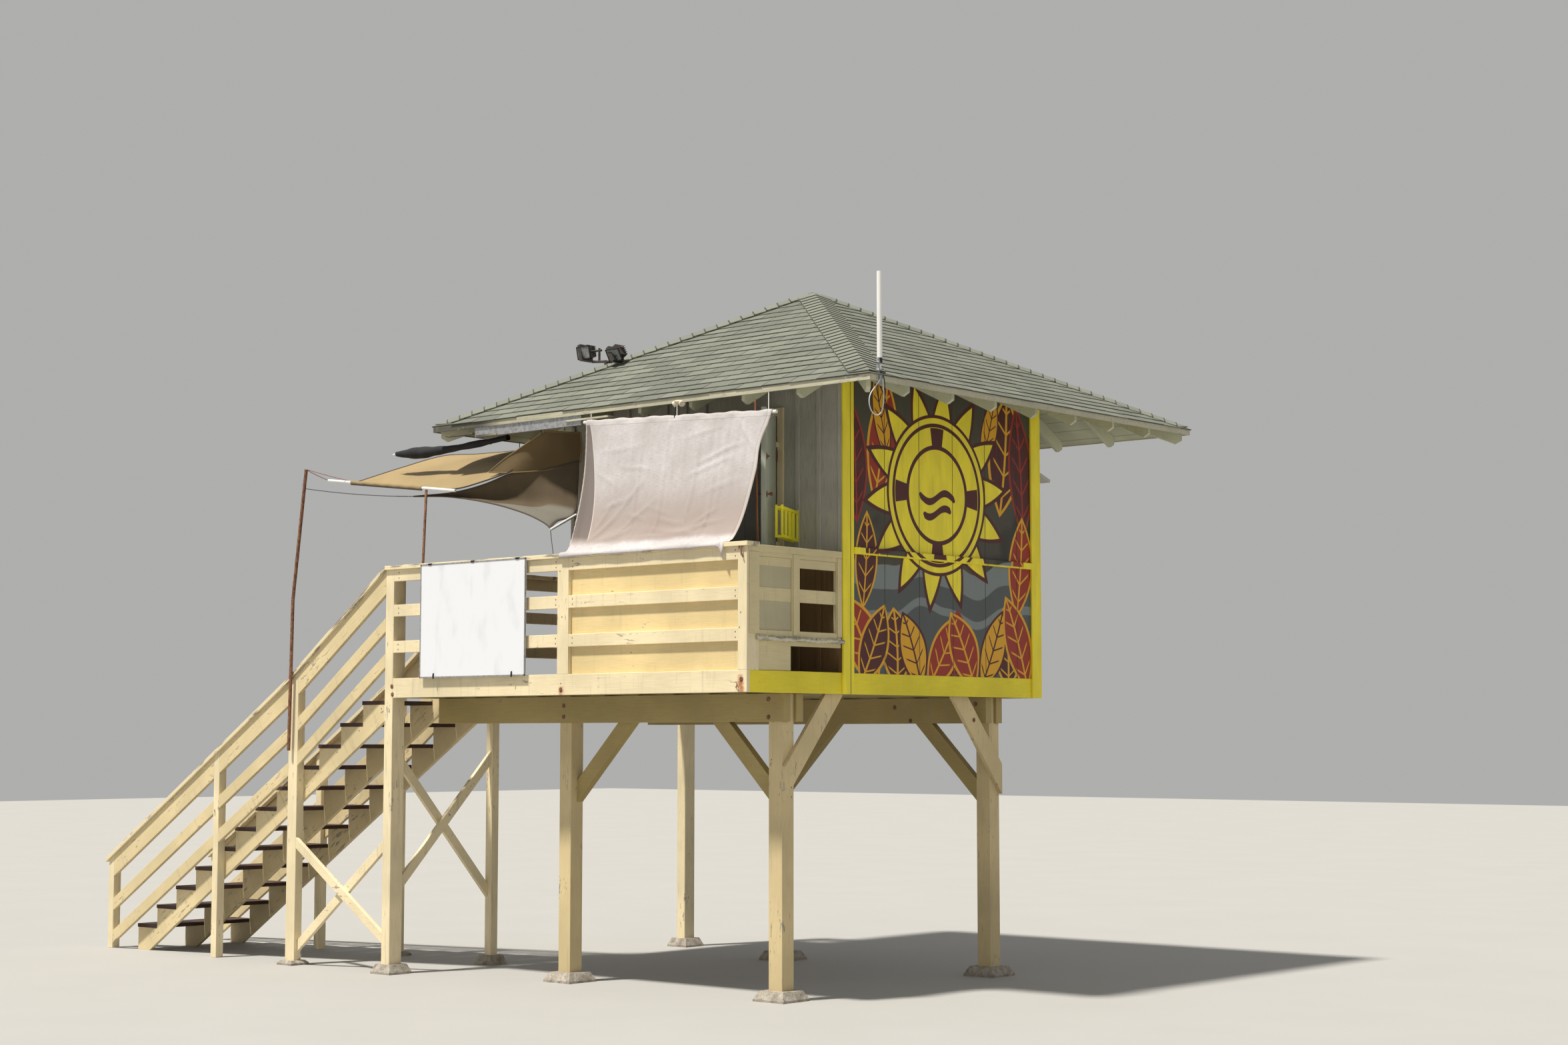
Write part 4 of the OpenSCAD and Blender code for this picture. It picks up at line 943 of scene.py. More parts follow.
add_cord("aerial_lead", [(0.978, 0.535, 5.222), (1.018, 0.538, 5.190), (1.036, 0.540, 5.110), (1.034, 0.541, 4.990),
                         (1.022, 0.548, 4.930), (0.985, 0.565, 4.903), (0.948, 0.582, 4.930), (0.926, 0.596, 5.000),
                         (0.912, 0.606, 5.090), (0.905, 0.612, 5.178)],
         0.008, "black", stiffness="medium", lay="hanging", count=32)


# ---- Roof ----

roof_low, roof_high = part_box("roof_front")[0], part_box("roof_back")[1]
EAVE_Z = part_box("eave_edge")[1].z
PEAK = Vector(((roof_low.x + roof_high.x) / 2, (roof_low.y + roof_high.y) / 2, roof_high.z))
CORNERS = [Vector((x, y, EAVE_Z)) for x, y in (
    (roof_low.x, roof_low.y), (roof_high.x, roof_low.y), (roof_high.x, roof_high.y), (roof_low.x, roof_high.y))]
EXPOSURE = 0.142  # how much of a shingle shows up the slope
TAB = 0.305  # width of a shingle's tab
RIDGE_EXPOSURE, RIDGE_WING = 0.125, 0.165
LAP = 0.05  # how far one course runs under the next


def chance(g, low, high, seed):
    """A random number for each point or instance."""
    return g.node("FunctionNodeRandomValue", {"data_type": "FLOAT"}, {2: low, 3: high, 8: seed}, out=1)


def toned(g, laid, tone):
    """Gives each tab its tone, for the finish to read."""
    return g.node("GeometryNodeStoreNamedAttribute", {"data_type": "FLOAT", "domain": "INSTANCE"}, {
        "Geometry": laid, "Name": "tone", "Value": tone})


def spotted(g, mesh, spot):
    """Writes onto a tab how far each point lies from its middle and from its butt, for the finish to read."""
    return g.node("GeometryNodeStoreNamedAttribute", {"data_type": "FLOAT_VECTOR", "domain": "POINT"}, {
        "Geometry": mesh, "Name": "spot", "Value": spot})


def shingle_courses(g, given):
    """Rows of overlapping tabs over a triangle: x along the eave from its middle, y up the slope."""
    rows, columns = given["Rows"], given["Columns"]
    step, tab = given["Exposure"], given["Tab"]
    grid = g.node("GeometryNodeMeshGrid", {}, {
        "Size X": (columns - 1.0) * tab, "Size Y": (rows - 1.0) * step, "Vertices X": columns, "Vertices Y": rows})
    index = g.node("GeometryNodeInputIndex")
    column = (index / rows).floor()
    row = index - column * rows
    stagger = ((row * 0.37) % 1.0 - 0.5) * tab
    x = (column - (columns - 1.0) * 0.5) * tab + stagger
    loose = chance(g, -0.007, 0.007, given["Seed"] + 5.0)
    first = chance(g, -0.012, 0.012, given["Seed"] + 9.0)
    spread = g.node("GeometryNodeSetPosition", {}, {
        "Geometry": grid, "Position": vector(g, x, row * step + loose + first * (row < 0.5), 0.0)})
    wide = given["Eave"] * 0.5 * (1.0 - row * step / given["Slope"])
    outside = abs(x) > wide + tab
    kept = g.node("GeometryNodeDeleteGeometry", {}, {"Geometry": spread, "Selection": outside})
    slab = g.node("GeometryNodeMeshCube", {}, {"Size": vector(g, tab - 0.004, step + LAP, 0.009)})
    tab_x, tab_y, tab_z = g.parts(g.node("GeometryNodeInputPosition"))
    tab_mesh = spotted(g, slab, vector(g, tab_x, tab_y + (step + LAP) * 0.5, tab_z))
    lift = chance(g, -0.008, 0.02, given["Seed"])
    turn = chance(g, -0.008, 0.008, given["Seed"] + 3.0)
    laid = g.copies(kept, tab_mesh, vector(g, lift - 0.045, 0.0, turn))
    return toned(g, laid, chance(g, 0.0, 1.0, given["Seed"] + 7.0))


def slope_frame(first, second):
    """A slope's matrix: x along the eave, y up the slope, z off it, from the eave's middle."""
    along = (second - first).normalized()
    middle = (first + second) / 2
    up = PEAK - middle
    up_slope = (up - along * up.dot(along)).normalized()
    off = along.cross(up_slope)
    return axes(along, up_slope, off), middle, (PEAK - middle).length


slopes, trims = [], []
for index in range(4):
    a, b = CORNERS[index], CORNERS[(index + 1) % 4]
    basis, middle, length = slope_frame(a, b)
    rows = math.ceil(length / EXPOSURE)
    mesh = grown("shingle_courses", shingle_courses, {
        "Rows": rows, "Columns": math.ceil((b - a).length / TAB) + 3, "Exposure": EXPOSURE, "Tab": TAB,
        "Eave": (b - a).length, "Slope": length, "Seed": 11 + index})
    off = basis.col[2].to_3d()
    up = basis.col[1].to_3d()
    slopes.append((mesh, Matrix.Translation(middle + off * 0.008 + up * 0.072) @ basis))
    planes = []
    for corner in (a, b):
        hip = PEAK - corner
        outward = Vector((hip.y, -hip.x, 0)).normalized()
        if outward.dot((a + b) / 2 - PEAK) > 0:
            outward.negate()
        planes.append((PEAK, outward))
    planes.append((middle - up * 0.022, -up))
    trims.append(planes)
add_piece("shingles", joined("shingles", slopes, trims), "shingle", slot="shingle")


def ridge_tabs(g, given):
    """Folded tabs up a hip line: x up the hip, y to either side."""
    count, step, wing = given["Count"], given["Exposure"], given["Wing"]
    line = g.node("GeometryNodeMeshLine", {}, {"Count": count, "Offset": vector(g, step, 0.0, 0.0)})
    fold = g.node("GeometryNodeJoinGeometry")
    join = fold.socket.node
    for way in (1.0, -1.0):
        flat = g.node("GeometryNodeMeshCube", {}, {"Size": vector(g, step + LAP, wing, 0.008)})
        aside = vector(g, 0.0, wing * (way * 0.49), 0.0)
        shifted = g.node("GeometryNodeTransform", {}, {"Geometry": flat, "Translation": aside})
        tilt = vector(g, given["Fold"] * -way, 0.0, 0.0)
        folded = g.node("GeometryNodeTransform", {}, {"Geometry": shifted, "Rotation": tilt})
        g.tree.links.new(folded.socket, join.inputs[0])
    x, y, z = g.parts(g.node("GeometryNodeInputPosition"))
    fold = spotted(g, fold, vector(g, 0.0, x + (step + LAP) * 0.5, z))
    laid = g.copies(line, fold, vector(g, 0.0, 0.055, 0.0))
    return toned(g, laid, chance(g, 0.55, 1.3, given["Seed"]))


hips = []
for index, corner in enumerate(CORNERS):
    run = PEAK - corner
    along = run.normalized()
    across = Vector((-run.y, run.x, 0)).normalized()
    off = along.cross(across)
    neighbour = CORNERS[(index + 1) % 4]
    face_normal = (neighbour - corner).cross(PEAK - corner).normalized()
    wing_way = face_normal.cross(along)
    fold = abs(math.asin(max(-1.0, min(1.0, wing_way.dot(off)))))
    count = int((run.length - 0.1) / RIDGE_EXPOSURE)
    mesh = grown("ridge_tabs", ridge_tabs, {
        "Count": count, "Exposure": RIDGE_EXPOSURE, "Wing": RIDGE_WING, "Fold": fold, "Seed": 40 + index})
    hips.append((mesh, Matrix.Translation(corner + along * 0.09 + off * 0.024) @ axes(along, across, off)))
off_eaves = [(CORNERS[i], Vector(way)) for i, way in ((2, (1, 0, 0)), (2, (0, 1, 0)), (0, (-1, 0, 0)), (0, (0, -1, 0)))]
add_piece("hip_shingles", joined("hip_shingles", hips, [off_eaves] * 4), "shingle", slot="shingle",
          stands_for=("hip_caps",))


# ---- Shade cloth ----

CLOTH_CUT = (2.28, 1.46)
RAIL_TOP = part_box("rail_cap")[1].z


def cloth_surface(u, v):
    """The hung cloth before it is let go: sleeved over its pole, sloping to the rail and laid over the cap."""
    x_top = POLE_ENDS[0] + 0.018 + u * 2.232
    zp = pole_z(x_top)
    pucker = 0.006 * math.sin(31 * u + 2) + 0.005 * math.sin(73 * u)
    if v < 0.10:
        turn = math.radians(-75 + 285 * v / 0.10)
        r = 0.024 + pucker * 0.6
        return at(x_top, CLOTH_Y + r * math.cos(turn), zp + r * math.sin(turn) - 0.004)
    s = (v - 0.10) / 0.90
    x_low = -2.205 + u * 1.956
    pull = 1 - (1 - s) ** 1.5
    tuck = 0.035 * max(0.0, u - 0.9) * 10 * math.sin(math.pi * min(1.0, s / 0.45)) ** 2
    x = x_top + (x_low - x_top) * pull * 0.96 - tuck
    fold = max(0.0, 1 - u / 0.10)
    tail = max(0.0, 1 - (1 - u) / 0.03)
    wave = 0.004 * math.sin(17 * u + 1) + 0.003 * math.sin(41 * u)
    steps = ((0.0, CLOTH_Y - 0.026, zp - 0.016), (0.45, 0.235, (zp + RAIL_TOP) / 2 + 0.06),
             (0.80, 0.120, RAIL_TOP + 0.170), (0.885, 0.082, RAIL_TOP + 0.050), (0.925, 0.045, RAIL_TOP + 0.014),
             (0.955, 0.000, RAIL_TOP + 0.009), (0.975, -0.031, RAIL_TOP + 0.003),
             (1.0, -0.036, RAIL_TOP - 0.036 - wave * 2 - 0.095 * tail))
    for (s0, y0, z0), (s1, y1, z1) in zip(steps, steps[1:]):
        if s <= s1:
            t = (s - s0) / (s1 - s0)
            break
    y, z = y0 + (y1 - y0) * t, z0 + (z1 - z0) * t
    return at(x, y + fold * 0.05 * math.sin(math.pi * min(1.0, s / 0.9)), z + wave * min(1.0, s * 6))


# Pressed creases: from (across, down) to (across, down) as shares of the sheet, then depth and width in metres.
CREASES = (
    (0.10, 0.86, 0.24, 0.70, 0.013, 0.015), (0.11, 0.80, 0.20, 0.62, 0.011, 0.013),
    (0.12, 0.87, 0.36, 0.79, 0.013, 0.014), (0.20, 0.74, 0.38, 0.50, 0.009, 0.015),
    (0.26, 0.82, 0.46, 0.62, 0.009, 0.014), (0.34, 0.86, 0.62, 0.84, 0.011, 0.013),
    (0.44, 0.80, 0.78, 0.85, 0.010, 0.012), (0.60, 0.85, 0.88, 0.77, 0.012, 0.013),
    (0.66, 0.42, 0.90, 0.28, 0.009, 0.018), (0.14, 0.66, 0.30, 0.60, 0.010, 0.011),
    (0.18, 0.83, 0.30, 0.78, 0.009, 0.010), (0.50, 0.74, 0.66, 0.78, 0.008, 0.011),
    (0.70, 0.80, 0.84, 0.70, 0.009, 0.012), (0.30, 0.70, 0.42, 0.74, 0.007, 0.010),
    (0.22, 0.40, 0.40, 0.44, 0.006, 0.014), (0.62, 0.50, 0.86, 0.38, 0.007, 0.020),
    (0.56, 0.24, 0.76, 0.17, 0.005, 0.016), (0.70, 0.62, 0.94, 0.52, 0.005, 0.018),
    (0.10, 0.30, 0.38, 0.26, 0.004, 0.022), (0.06, 0.42, 0.24, 0.56, 0.004, 0.020),
    (0.84, 0.14, 0.97, 0.34, 0.008, 0.020), (0.48, 0.12, 0.46, 0.26, 0.006, 0.016),
    (0.40, 0.66, 0.58, 0.72, 0.004, 0.012), (0.14, 0.90, 0.30, 0.86, 0.006, 0.012),
)


def crease(mesh, size, creases):
    """Presses ridges into a sheet along its creases, towards the light side."""
    uvs = mesh.uv_layers[0].data
    spots = {loop.vertex_index: uvs[loop.index].uv for loop in mesh.loops}
    normals = [v.normal.copy() for v in mesh.vertices]
    for vertex in mesh.vertices:
        u, v = spots[vertex.index]
        lift = 0.0
        for u0, v0, u1, v1, depth, width in creases:
            ax, ay = u0 * size[0], v0 * size[1]
            dx, dy = u1 * size[0] - ax, v1 * size[1] - ay
            long = dx * dx + dy * dy
            t = ((u - ax) * dx + (v - ay) * dy) / long
            if -0.1 < t < 1.1:
                off = abs((u - ax) * dy - (v - ay) * dx) / long ** 0.5
                lift += depth * math.exp(-(off / width) ** 2) * max(0.0, math.sin(math.pi * (t + 0.1) / 1.2))
        vertex.co += normals[vertex.index] * lift * (1 if normals[vertex.index].y < 0 else -1)


def let_go(piece, pinned, frames, slack):
    """Lets cloth settle from its first shape with some vertices held, and keeps the settled mesh."""
    group = piece.vertex_groups.new(name="held")
    group.add(pinned, 1.0, "REPLACE")
    cloth = piece.modifiers.new("settle", "CLOTH")
    for key, value in {
            "vertex_group_mass": "held", "quality": 6, "mass": 0.25, "tension_stiffness": 25,
            "compression_stiffness": 12, "shear_stiffness": 8, "bending_stiffness": 0.35, "air_damping": 3,
            "shrink_min": -slack, "shrink_max": -slack}.items():
        setattr(cloth.settings, key, value)
    cloth.collision_settings.use_collision = False
    cloth.point_cache.frame_start, cloth.point_cache.frame_end = 1, frames
    scene = bpy.context.scene
    for step in range(1, frames + 1):
        scene.frame_set(step)
    settled = bpy.data.meshes.new_from_object(piece.evaluated_get(bpy.context.evaluated_depsgraph_get()))
    piece.modifiers.remove(cloth)
    piece.vertex_groups.clear()
    piece.data = settled
    scene.frame_set(1)


def add_shade_cloth():
    across, down = 110, 74
    mesh = sheet_grid("shade_cloth_hung", cloth_surface, across, down, CLOTH_CUT)
    cloth = in_scene("shade_cloth_hung", mesh)
    held = [j * (across + 1) + i for j in range(down + 1) for i in range(across + 1)
            if j / down < 0.11 or j / down > 0.925 or (i == 0 and j % 3 == 0)]
    let_go(cloth, held, 26, 0.013)
    crease(cloth.data, CLOTH_CUT, CREASES)
    thicken(cloth, 0.0018)
    wear(cloth, "shade")
    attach(cloth, "tower")
    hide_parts("shade_cloth")


add_shade_cloth()


# ---- Sails over the stair ----

HEM_RADIUS = 0.007


def add_sail(name, edges, finish, size, sag, stands_for=()):
    """A sail stretched between its corners, with a dark corded hem."""
    curves = [[at(*p) for p in edge] for edge in edges]
    ruled = coons(*curves)

    def surface(u, v):
        belly = math.sin(math.pi * u) * math.sin(math.pi * v)
        ripple = 0.004 * math.sin(19 * u + 7 * v) * belly
        return ruled(u, v) - up_by(sag * belly - ripple)

    mesh = sheet_grid(name, surface, 48, 36, size)
    slot = "cloth_brown" if finish == "brown" else "cloth_tan"
    piece = add_piece(name, mesh, finish, slot=slot, stands_for=stands_for)
    thicken(piece, 0.002)
    rim = [surface(k / 40, 0) for k in range(41)] + [surface(1, k / 30) for k in range(1, 31)]
    rim += [surface(1 - k / 40, 1) for k in range(1, 41)] + [surface(0, 1 - k / 30) for k in range(1, 30)]
    cord = add_solid(name + "_hem", [bar(rim + [rim[0]], HEM_RADIUS)], finish + "_hem")
    return piece


sleeve_line = [Vector(PIPE_LEFT).lerp(Vector(PIPE_RIGHT), 0.19 + 0.56 * k / 20) for k in range(21)]
rolled = [bar([at(*p) + Vector((0, -0.001, 0.002 * math.sin(k * 1.9))) for k, p in enumerate(sleeve_line)], 0.0185, 14)]
sleeve = add_solid("sail_sleeve", rolled, "tan", slot="cloth_tan")
sleeve_hem = add_solid("sail_sleeve_hem", [
    bar([at(*p) + Vector((0, -0.008, -0.020)) for p in sleeve_line], 0.006)], "tan_hem")
TIP = (-5.445, 0.300, 4.713)
KNOT = (-3.325, 0.380, 4.668)
add_sail("tan_sail_main", (
    (TIP, (-4.900, 0.272, 4.648), (-4.400, 0.240, 4.590), (-3.900, 0.219, 4.541), (-3.620, 0.290, 4.588), KNOT),
    (KNOT, (-3.110, 0.520, 4.830), (-2.900, 0.640, 4.950)),
    ((-4.377, 1.497, 5.054), (-3.640, 1.100, 4.990), (-2.900, 0.640, 4.950)),
    (TIP, (-5.200, 0.640, 4.862), (-4.950, 0.990, 4.998), (-4.700, 1.230, 5.020), (-4.377, 1.497, 5.054))),
    "tan", (2.30, 1.72), 0.045, stands_for=("tan_sail",))
add_sail("tan_sail_flap", (
    ((-3.545, 0.336, 4.684), (-3.300, 0.395, 4.668), (-3.020, 0.590, 4.690), (-2.760, 0.760, 4.760)),
    ((-2.760, 0.760, 4.760), (-2.720, 0.740, 4.900), (-2.680, 0.690, 5.018)),
    ((-2.905, 0.440, 5.030), (-2.790, 0.560, 5.022), (-2.680, 0.690, 5.018)),
    ((-3.545, 0.336, 4.684), (-3.400, 0.380, 4.790), (-3.230, 0.420, 4.885), (-2.905, 0.440, 5.030))),
    "flap", (0.92, 0.78), 0.020)
add_sail("brown_sail_low", (
    ((-4.575, 0.300, 4.520), (-4.000, 0.270, 4.475), (-3.400, 0.232, 4.375), (-2.900, 0.190, 4.250),
     (-2.600, 0.160, 4.140), (-2.514, 0.152, 4.085)),
    ((-2.514, 0.152, 4.085), (-2.605, 0.330, 4.170), (-2.664, 0.595, 4.260), (-2.720, 0.690, 4.520),
     (-2.770, 0.750, 4.776)),
    ((-3.335, 0.384, 4.652), (-3.060, 0.560, 4.690), (-2.770, 0.750, 4.776)),
    ((-4.575, 0.300, 4.520), (-4.000, 0.300, 4.520), (-3.620, 0.335, 4.570), (-3.335, 0.384, 4.652))),
    "brown", (2.15, 0.62), 0.030, stands_for=("brown_sail",))


# ---- Rolled tarp ----


def add_rolled_tarp():
    """A dark tarp rolled on itself round a white tube under the eave, thickest towards its outer end."""
    ends = (at(-5.009, 0.450, 4.975), at(-3.560, 0.590, 5.035))
    along = (ends[1] - ends[0]).normalized()
    side = along.cross(up_by(1)).normalized()
    up = side.cross(along)
    turns = 3.1

    def surface(u, v):
        middle = ends[0].lerp(ends[1], v) - up_by(0.030 * math.sin(math.pi * v ** 0.8))
        thick = 0.62 + sum(size * math.exp(-((v - place) / width) ** 2)
                           for size, place, width in ((0.70, 0.24, 0.20), (0.20, 0.7, 0.1), (-0.25, 0.0, 0.05)))
        lump = 1 + 0.06 * math.sin(23 * v + 4 * u) + 0.04 * math.sin(51 * v)
        r = (0.010 + 0.038 * u) * thick * lump
        turn = 2 * math.pi * turns * u + 0.9 * v + 2.2
        return middle + side * (math.cos(turn) * r) + up * (math.sin(turn) * r)

    mesh = sheet_grid("tarp_roll", surface, 96, 60, (0.58, 1.46))
    roll = add_piece("tarp_roll", mesh, "tarp", slot="tarp", stands_for=("rolled_tarp",))
    thicken(roll, 0.0016)
    tube_end = bar([ends[0] - along * 0.045, ends[0] - along * 0.02, ends[0] + along * 1.40], 0.008, 10)
    tube = add_solid("tarp_tube", [tube_end], "white")


add_rolled_tarp()


# ---- Side frame, railing and wall trim ----


def add_side_boards():
    """Short boards between the stiles of the side frame, their strips and the rotten ledge."""
    boards = [deck_plank(-0.036, -0.008, y0, y1, z0, z1) for y0, y1 in ((0.151, 0.572), (0.678, 1.163))
              for z0, z1 in ((3.347, 3.459), (3.640, 3.714))]
    boards += [deck_plank(*board) for board in (
        (-0.030, -0.012, 0.151, 0.572, 2.766, 3.016), (-0.034, -0.004, 0.151, 1.226, 2.975, 3.016),
        (-0.001, 0.012, 0.020, 1.226, 3.752, 3.810), (-0.001, 0.009, 0.030, 0.150, 3.066, 3.750),
        (-0.001, 0.009, 0.585, 0.640, 3.066, 3.750), (-0.001, 0.009, 1.170, 1.226, 3.066, 3.750))]
    piece = add_solid("side_frame_boards", boards, "side_cream", slot="cream_paint")
    ease_edges(piece, 0.002)
    random.seed(12)
    verts = []
    steps = 46
    for i in range(steps + 1):
        y = 0.110 + 1.125 * i / steps
        dip = 0.004 * math.sin(i * 0.35) - 0.006 * i / steps
        for x, z in ((-0.030, 3.022), (0.030, 3.016), (0.033, 3.036), (0.020, 3.052), (-0.030, 3.060)):
            rot = random.uniform(-0.004, 0.004) if x > 0 else 0.0
            verts.append(at(x + rot, y, z + rot + dip * (x > 0)))
    ledge = solid_mesh("rotten_ledge", [(verts, tube_faces(steps + 1, 5))])
    add_piece("rotten_ledge", ledge, "rotten", slot="weathered_wood")


add_side_boards()


def add_rack():
    """An open yellow rack on the porch wall: four posts, rails between them and slats on its outer side."""
    place = Matrix.Translation(at(-0.5550, 1.2054, 3.920)) @ Matrix.Rotation(math.radians(26.6), 4, "Z")
    long, deep, high = 0.560, 0.070, 0.270
    bar_w, rail_h, top = 0.018, 0.026, high + 0.012
    parts = [((x, y, 0), (x + bar_w, y + bar_w, top)) for x in (0, deep - bar_w) for y in (-long, -bar_w)]
    parts += [((bar_w, y, z), (deep - bar_w, y + bar_w, z + bar_w))
              for y in (-long, -bar_w) for z in (0.0, high - bar_w)]
    parts += [((x, -long + bar_w, z), (x + bar_w, -bar_w, z + rail_h))
              for x in (0, deep - bar_w) for z in (0.0, high - rail_h)]
    parts += [((deep - bar_w, -long + y, rail_h), (deep, -long + y + 0.034, high - rail_h))
              for y in (0.120, 0.255, 0.390)]
    rack = add_solid("open_rack", [placed(plank(*p), place) for p in parts], "rack_yellow",
                     slot="yellow_paint", stands_for=("slatted_rack",))
    ease_edges(rack, 0.002)


add_rack()


def add_board_edging():
    """Slim metal edging round the white board, with its clips."""
    x0, x1, z0, z1 = -4.060, -2.630, 2.758, 3.818
    y0, y1 = -0.0400, -0.0300
    strips = [deck_plank(x0, x1, y0, y1, z0, z0 + 0.012), deck_plank(x0, x1, y0, y1, z1 - 0.012, z1),
              deck_plank(x0, x0 + 0.012, y0, y1, z0, z1), deck_plank(x1 - 0.012, x1, y0, y1, z0, z1)]
    add_solid("board_edging", strips, "metal", slot="zinc")
    clips = [bar([at(x, -0.044, z), at(x, -0.046, z + 0.03), at(x, -0.041, z + 0.052)], 0.006)
             for x, z in ((-3.860, 2.748), (-2.800, 2.748))]
    clips += [deck_plank(x, x + 0.045, -0.043, -0.030, 3.806, 3.824) for x in (-3.95, -3.36, -2.76)]
    add_solid("board_clips", clips, "black")


add_board_edging()


# ---- Bolts, nails and hooks ----

TIMBER = SAWN + ["infill_panels", "wall_front_right", "wall_right", "wall_back", "wall_left"]
EYE = camera.matrix_world.translation.copy()


def face_tree(names):
    """The named nodes' faces, ready to be met by straight lines."""
    points, faces = [], []
    for name in names:
        start = len(points)
        points += [v.co.copy() for v in nodes[name].data.vertices]
        faces += [[start + i for i in p.vertices] for p in nodes[name].data.polygons]
    return BVHTree.FromPolygons(points, faces)


timber = face_tree(TIMBER)


def met(start, way):
    """Where a straight line meets the timber, and the way out of that face."""
    point, normal = timber.ray_cast(start, way.normalized())[:2]
    return point, (normal if normal.dot(way) < 0 else -normal)


def seen(across, down):
    """The timber under one place of the picture, in its pixels."""
    reach = SENSOR_WIDTH / LENS / PICTURE[0]
    return met(EYE, ahead + side * ((across - PICTURE[0] / 2) * reach) - above * ((down - PICTURE[1] / 2) * reach))


def bolt_heads(g, given):
    """A six-sided head on a round washer at each seed point, standing off its face."""
    pair = g.node("GeometryNodeJoinGeometry")
    for corners, size, rise in ((6, given["Head"], given["Rise"] * 2.0), (16, given["Washer"], given["Rise"] * 0.7)):
        disc = g.node("GeometryNodeMeshCylinder", {"fill_type": "NGON"}, {
            "Vertices": corners, "Radius": size, "Depth": rise})
        g.tree.links.new(disc.socket, pair.socket.node.inputs[0])
    facing = g.node("GeometryNodeInputNamedAttribute", {"data_type": "FLOAT_VECTOR"}, {"Name": "facing"})
    turned = g.node("FunctionNodeAlignRotationToVector", {"axis": "Z"}, {"Vector": facing})
    return g.copies(given["Geometry"], pair, turned)


big = [seen(*p) for p in ((588, 1030), (588.6, 1042), (841, 1035), (1152.8, 1049), (1152.8, 1076), (1342, 1061.8),
                          (1365.8, 1081.6), (1463, 1056.3), (1460.8, 1080.5), (1112, 1019))]
small = [seen(*p) for p in ((841, 1025.5), (1187.3, 1181.7), (1187.3, 1196), (1495.6, 1176.6), (1496, 1192.7),
                            (1157.2, 1140), (840, 857), (843, 925.7), (1111, 918.6), (1109, 941))]
for name in ("post_front_right", "post_back_right", "post_front_middle", "post_back_middle"):
    low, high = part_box(name)
    rows = [high.z - 0.085, high.z - 0.185]
    for z in rows:
        for off in (-0.038, 0.038):
            middle = (low.x + high.x) / 2 + off
            big.append(met(Vector((middle, DECK_Y + 6.0, z)), Vector((0, -1, 0))))
    if name == "post_front_middle":
        big += [met(Vector((low.x + 0.06, DECK_Y - 1.0, z)), Vector((0, 1, 0))) for z in rows]
for z in (3.036, 3.082, 3.379, 3.427, 3.713, 3.762):
    for x in (-4.415, -2.275, -2.065, -0.128):
        small.append(met(at(x, -1.0, z), Vector((0, 1, 0))))
for step in range(STEPS):
    z = FLOOR_TOP - (step + 1) * STEP_RISE
    small.append(met(at(-4.75 - step * STEP_GOING, -1.0, z - 0.075), Vector((0, 1, 0))))
for title, found, head, washer in (("bolt_heads", big, 0.013, 0.021), ("nail_heads", small, 0.005, 0.0055)):
    sizes = {"Head": head, "Washer": washer, "Rise": head * 0.5, "Finish": finishes["bolt"]}
    add_piece(title, grown(title, bolt_heads, sizes, found), "bolt", slot="steel")


def add_hooks():
    """Rusty hooks and a clamp on the rail, and hooks and tags under the eave."""
    rusty = []
    point, way = seen(1105, 1024)
    ring = []
    for k in range(13):
        turn = k * 0.42
        ring.append(point + way * (0.006 + 0.014 * math.sin(turn))
                    + Vector((0.020 * math.sin(turn), 0, -0.020 + 0.020 * math.cos(turn))))
    rusty.append(bar([point - way * 0.004] + ring, 0.0045, 8))
    corner = at(-0.045, -0.004, 3.793)
    rusty += [bar(moved(corner, (0, 0, 0), (0.0, -0.018, -0.020), (0.006, -0.020, -0.062), (0.016, -0.012, -0.098),
                        (0.004, -0.006, -0.086)), 0.006),
              bar(moved(corner, (-0.035, 0.0, -0.004), (-0.030, -0.016, -0.024), (0.004, -0.018, -0.030)), 0.005)]
    add_solid("rail_hooks", rusty, "bolt", slot="steel")
    dark = []
    for x, drop in ((-2.905, 0.085), (-2.600, 0.070), (-2.480, 0.060)):
        top = at(x, 0.400, 5.075)
        dark.append(bar(moved(top, (0, 0, 0), (0, 0, -drop * 0.6), (0.010, -0.006, -drop),
                              (0.024, -0.010, -drop * 0.8)), 0.0035))
    clip = at(-1.178, 0.380, pole_z(-1.178))
    dark.append(bar(moved(clip, (0, 0, 0.18), (0, -0.004, 0.06), (0, -0.020, 0.0), (0, -0.004, -0.026)), 0.004))
    dark.append(bar([at(-2.905, 0.400, 5.075), at(-2.700, 0.402, 5.070), at(-2.480, 0.400, 5.075)], 0.003))
    add_solid("eave_hooks", dark, "black")
    boards = [deck_plank(*board) for board in (
        (-3.773, -3.489, 0.375, 0.440, 5.038, 5.054), (-2.563, -2.011, 0.372, 0.470, 5.078, 5.094),
        (-4.180, -3.800, 0.350, 0.395, 5.066, 5.078))]
    add_solid("eave_slats", boards, "edge", slot="eave_paint")
    lamp = []
    base = at(-1.150, 0.400, 5.150)
    lamp.append(lathe([(0.045, 0.0), (0.050, -0.012), (0.030, -0.026), (0.012, -0.030)], Matrix.Translation(base)))
    for off in (-0.05, 0.05):
        way = Vector((off, -0.02, -0.035)).normalized()
        cup = [(0.016, 0.0), (0.024, 0.015), (0.030, 0.050), (0.026, 0.056), (0.010, 0.052)]
        lamp.append(lathe(cup, aim(base + way * 0.012, way)))
    add_solid("eave_lamp", lamp, "enamel_cream", slot="cream_paint")


add_hooks()


# ---- Door fittings and the rod beside the door ----


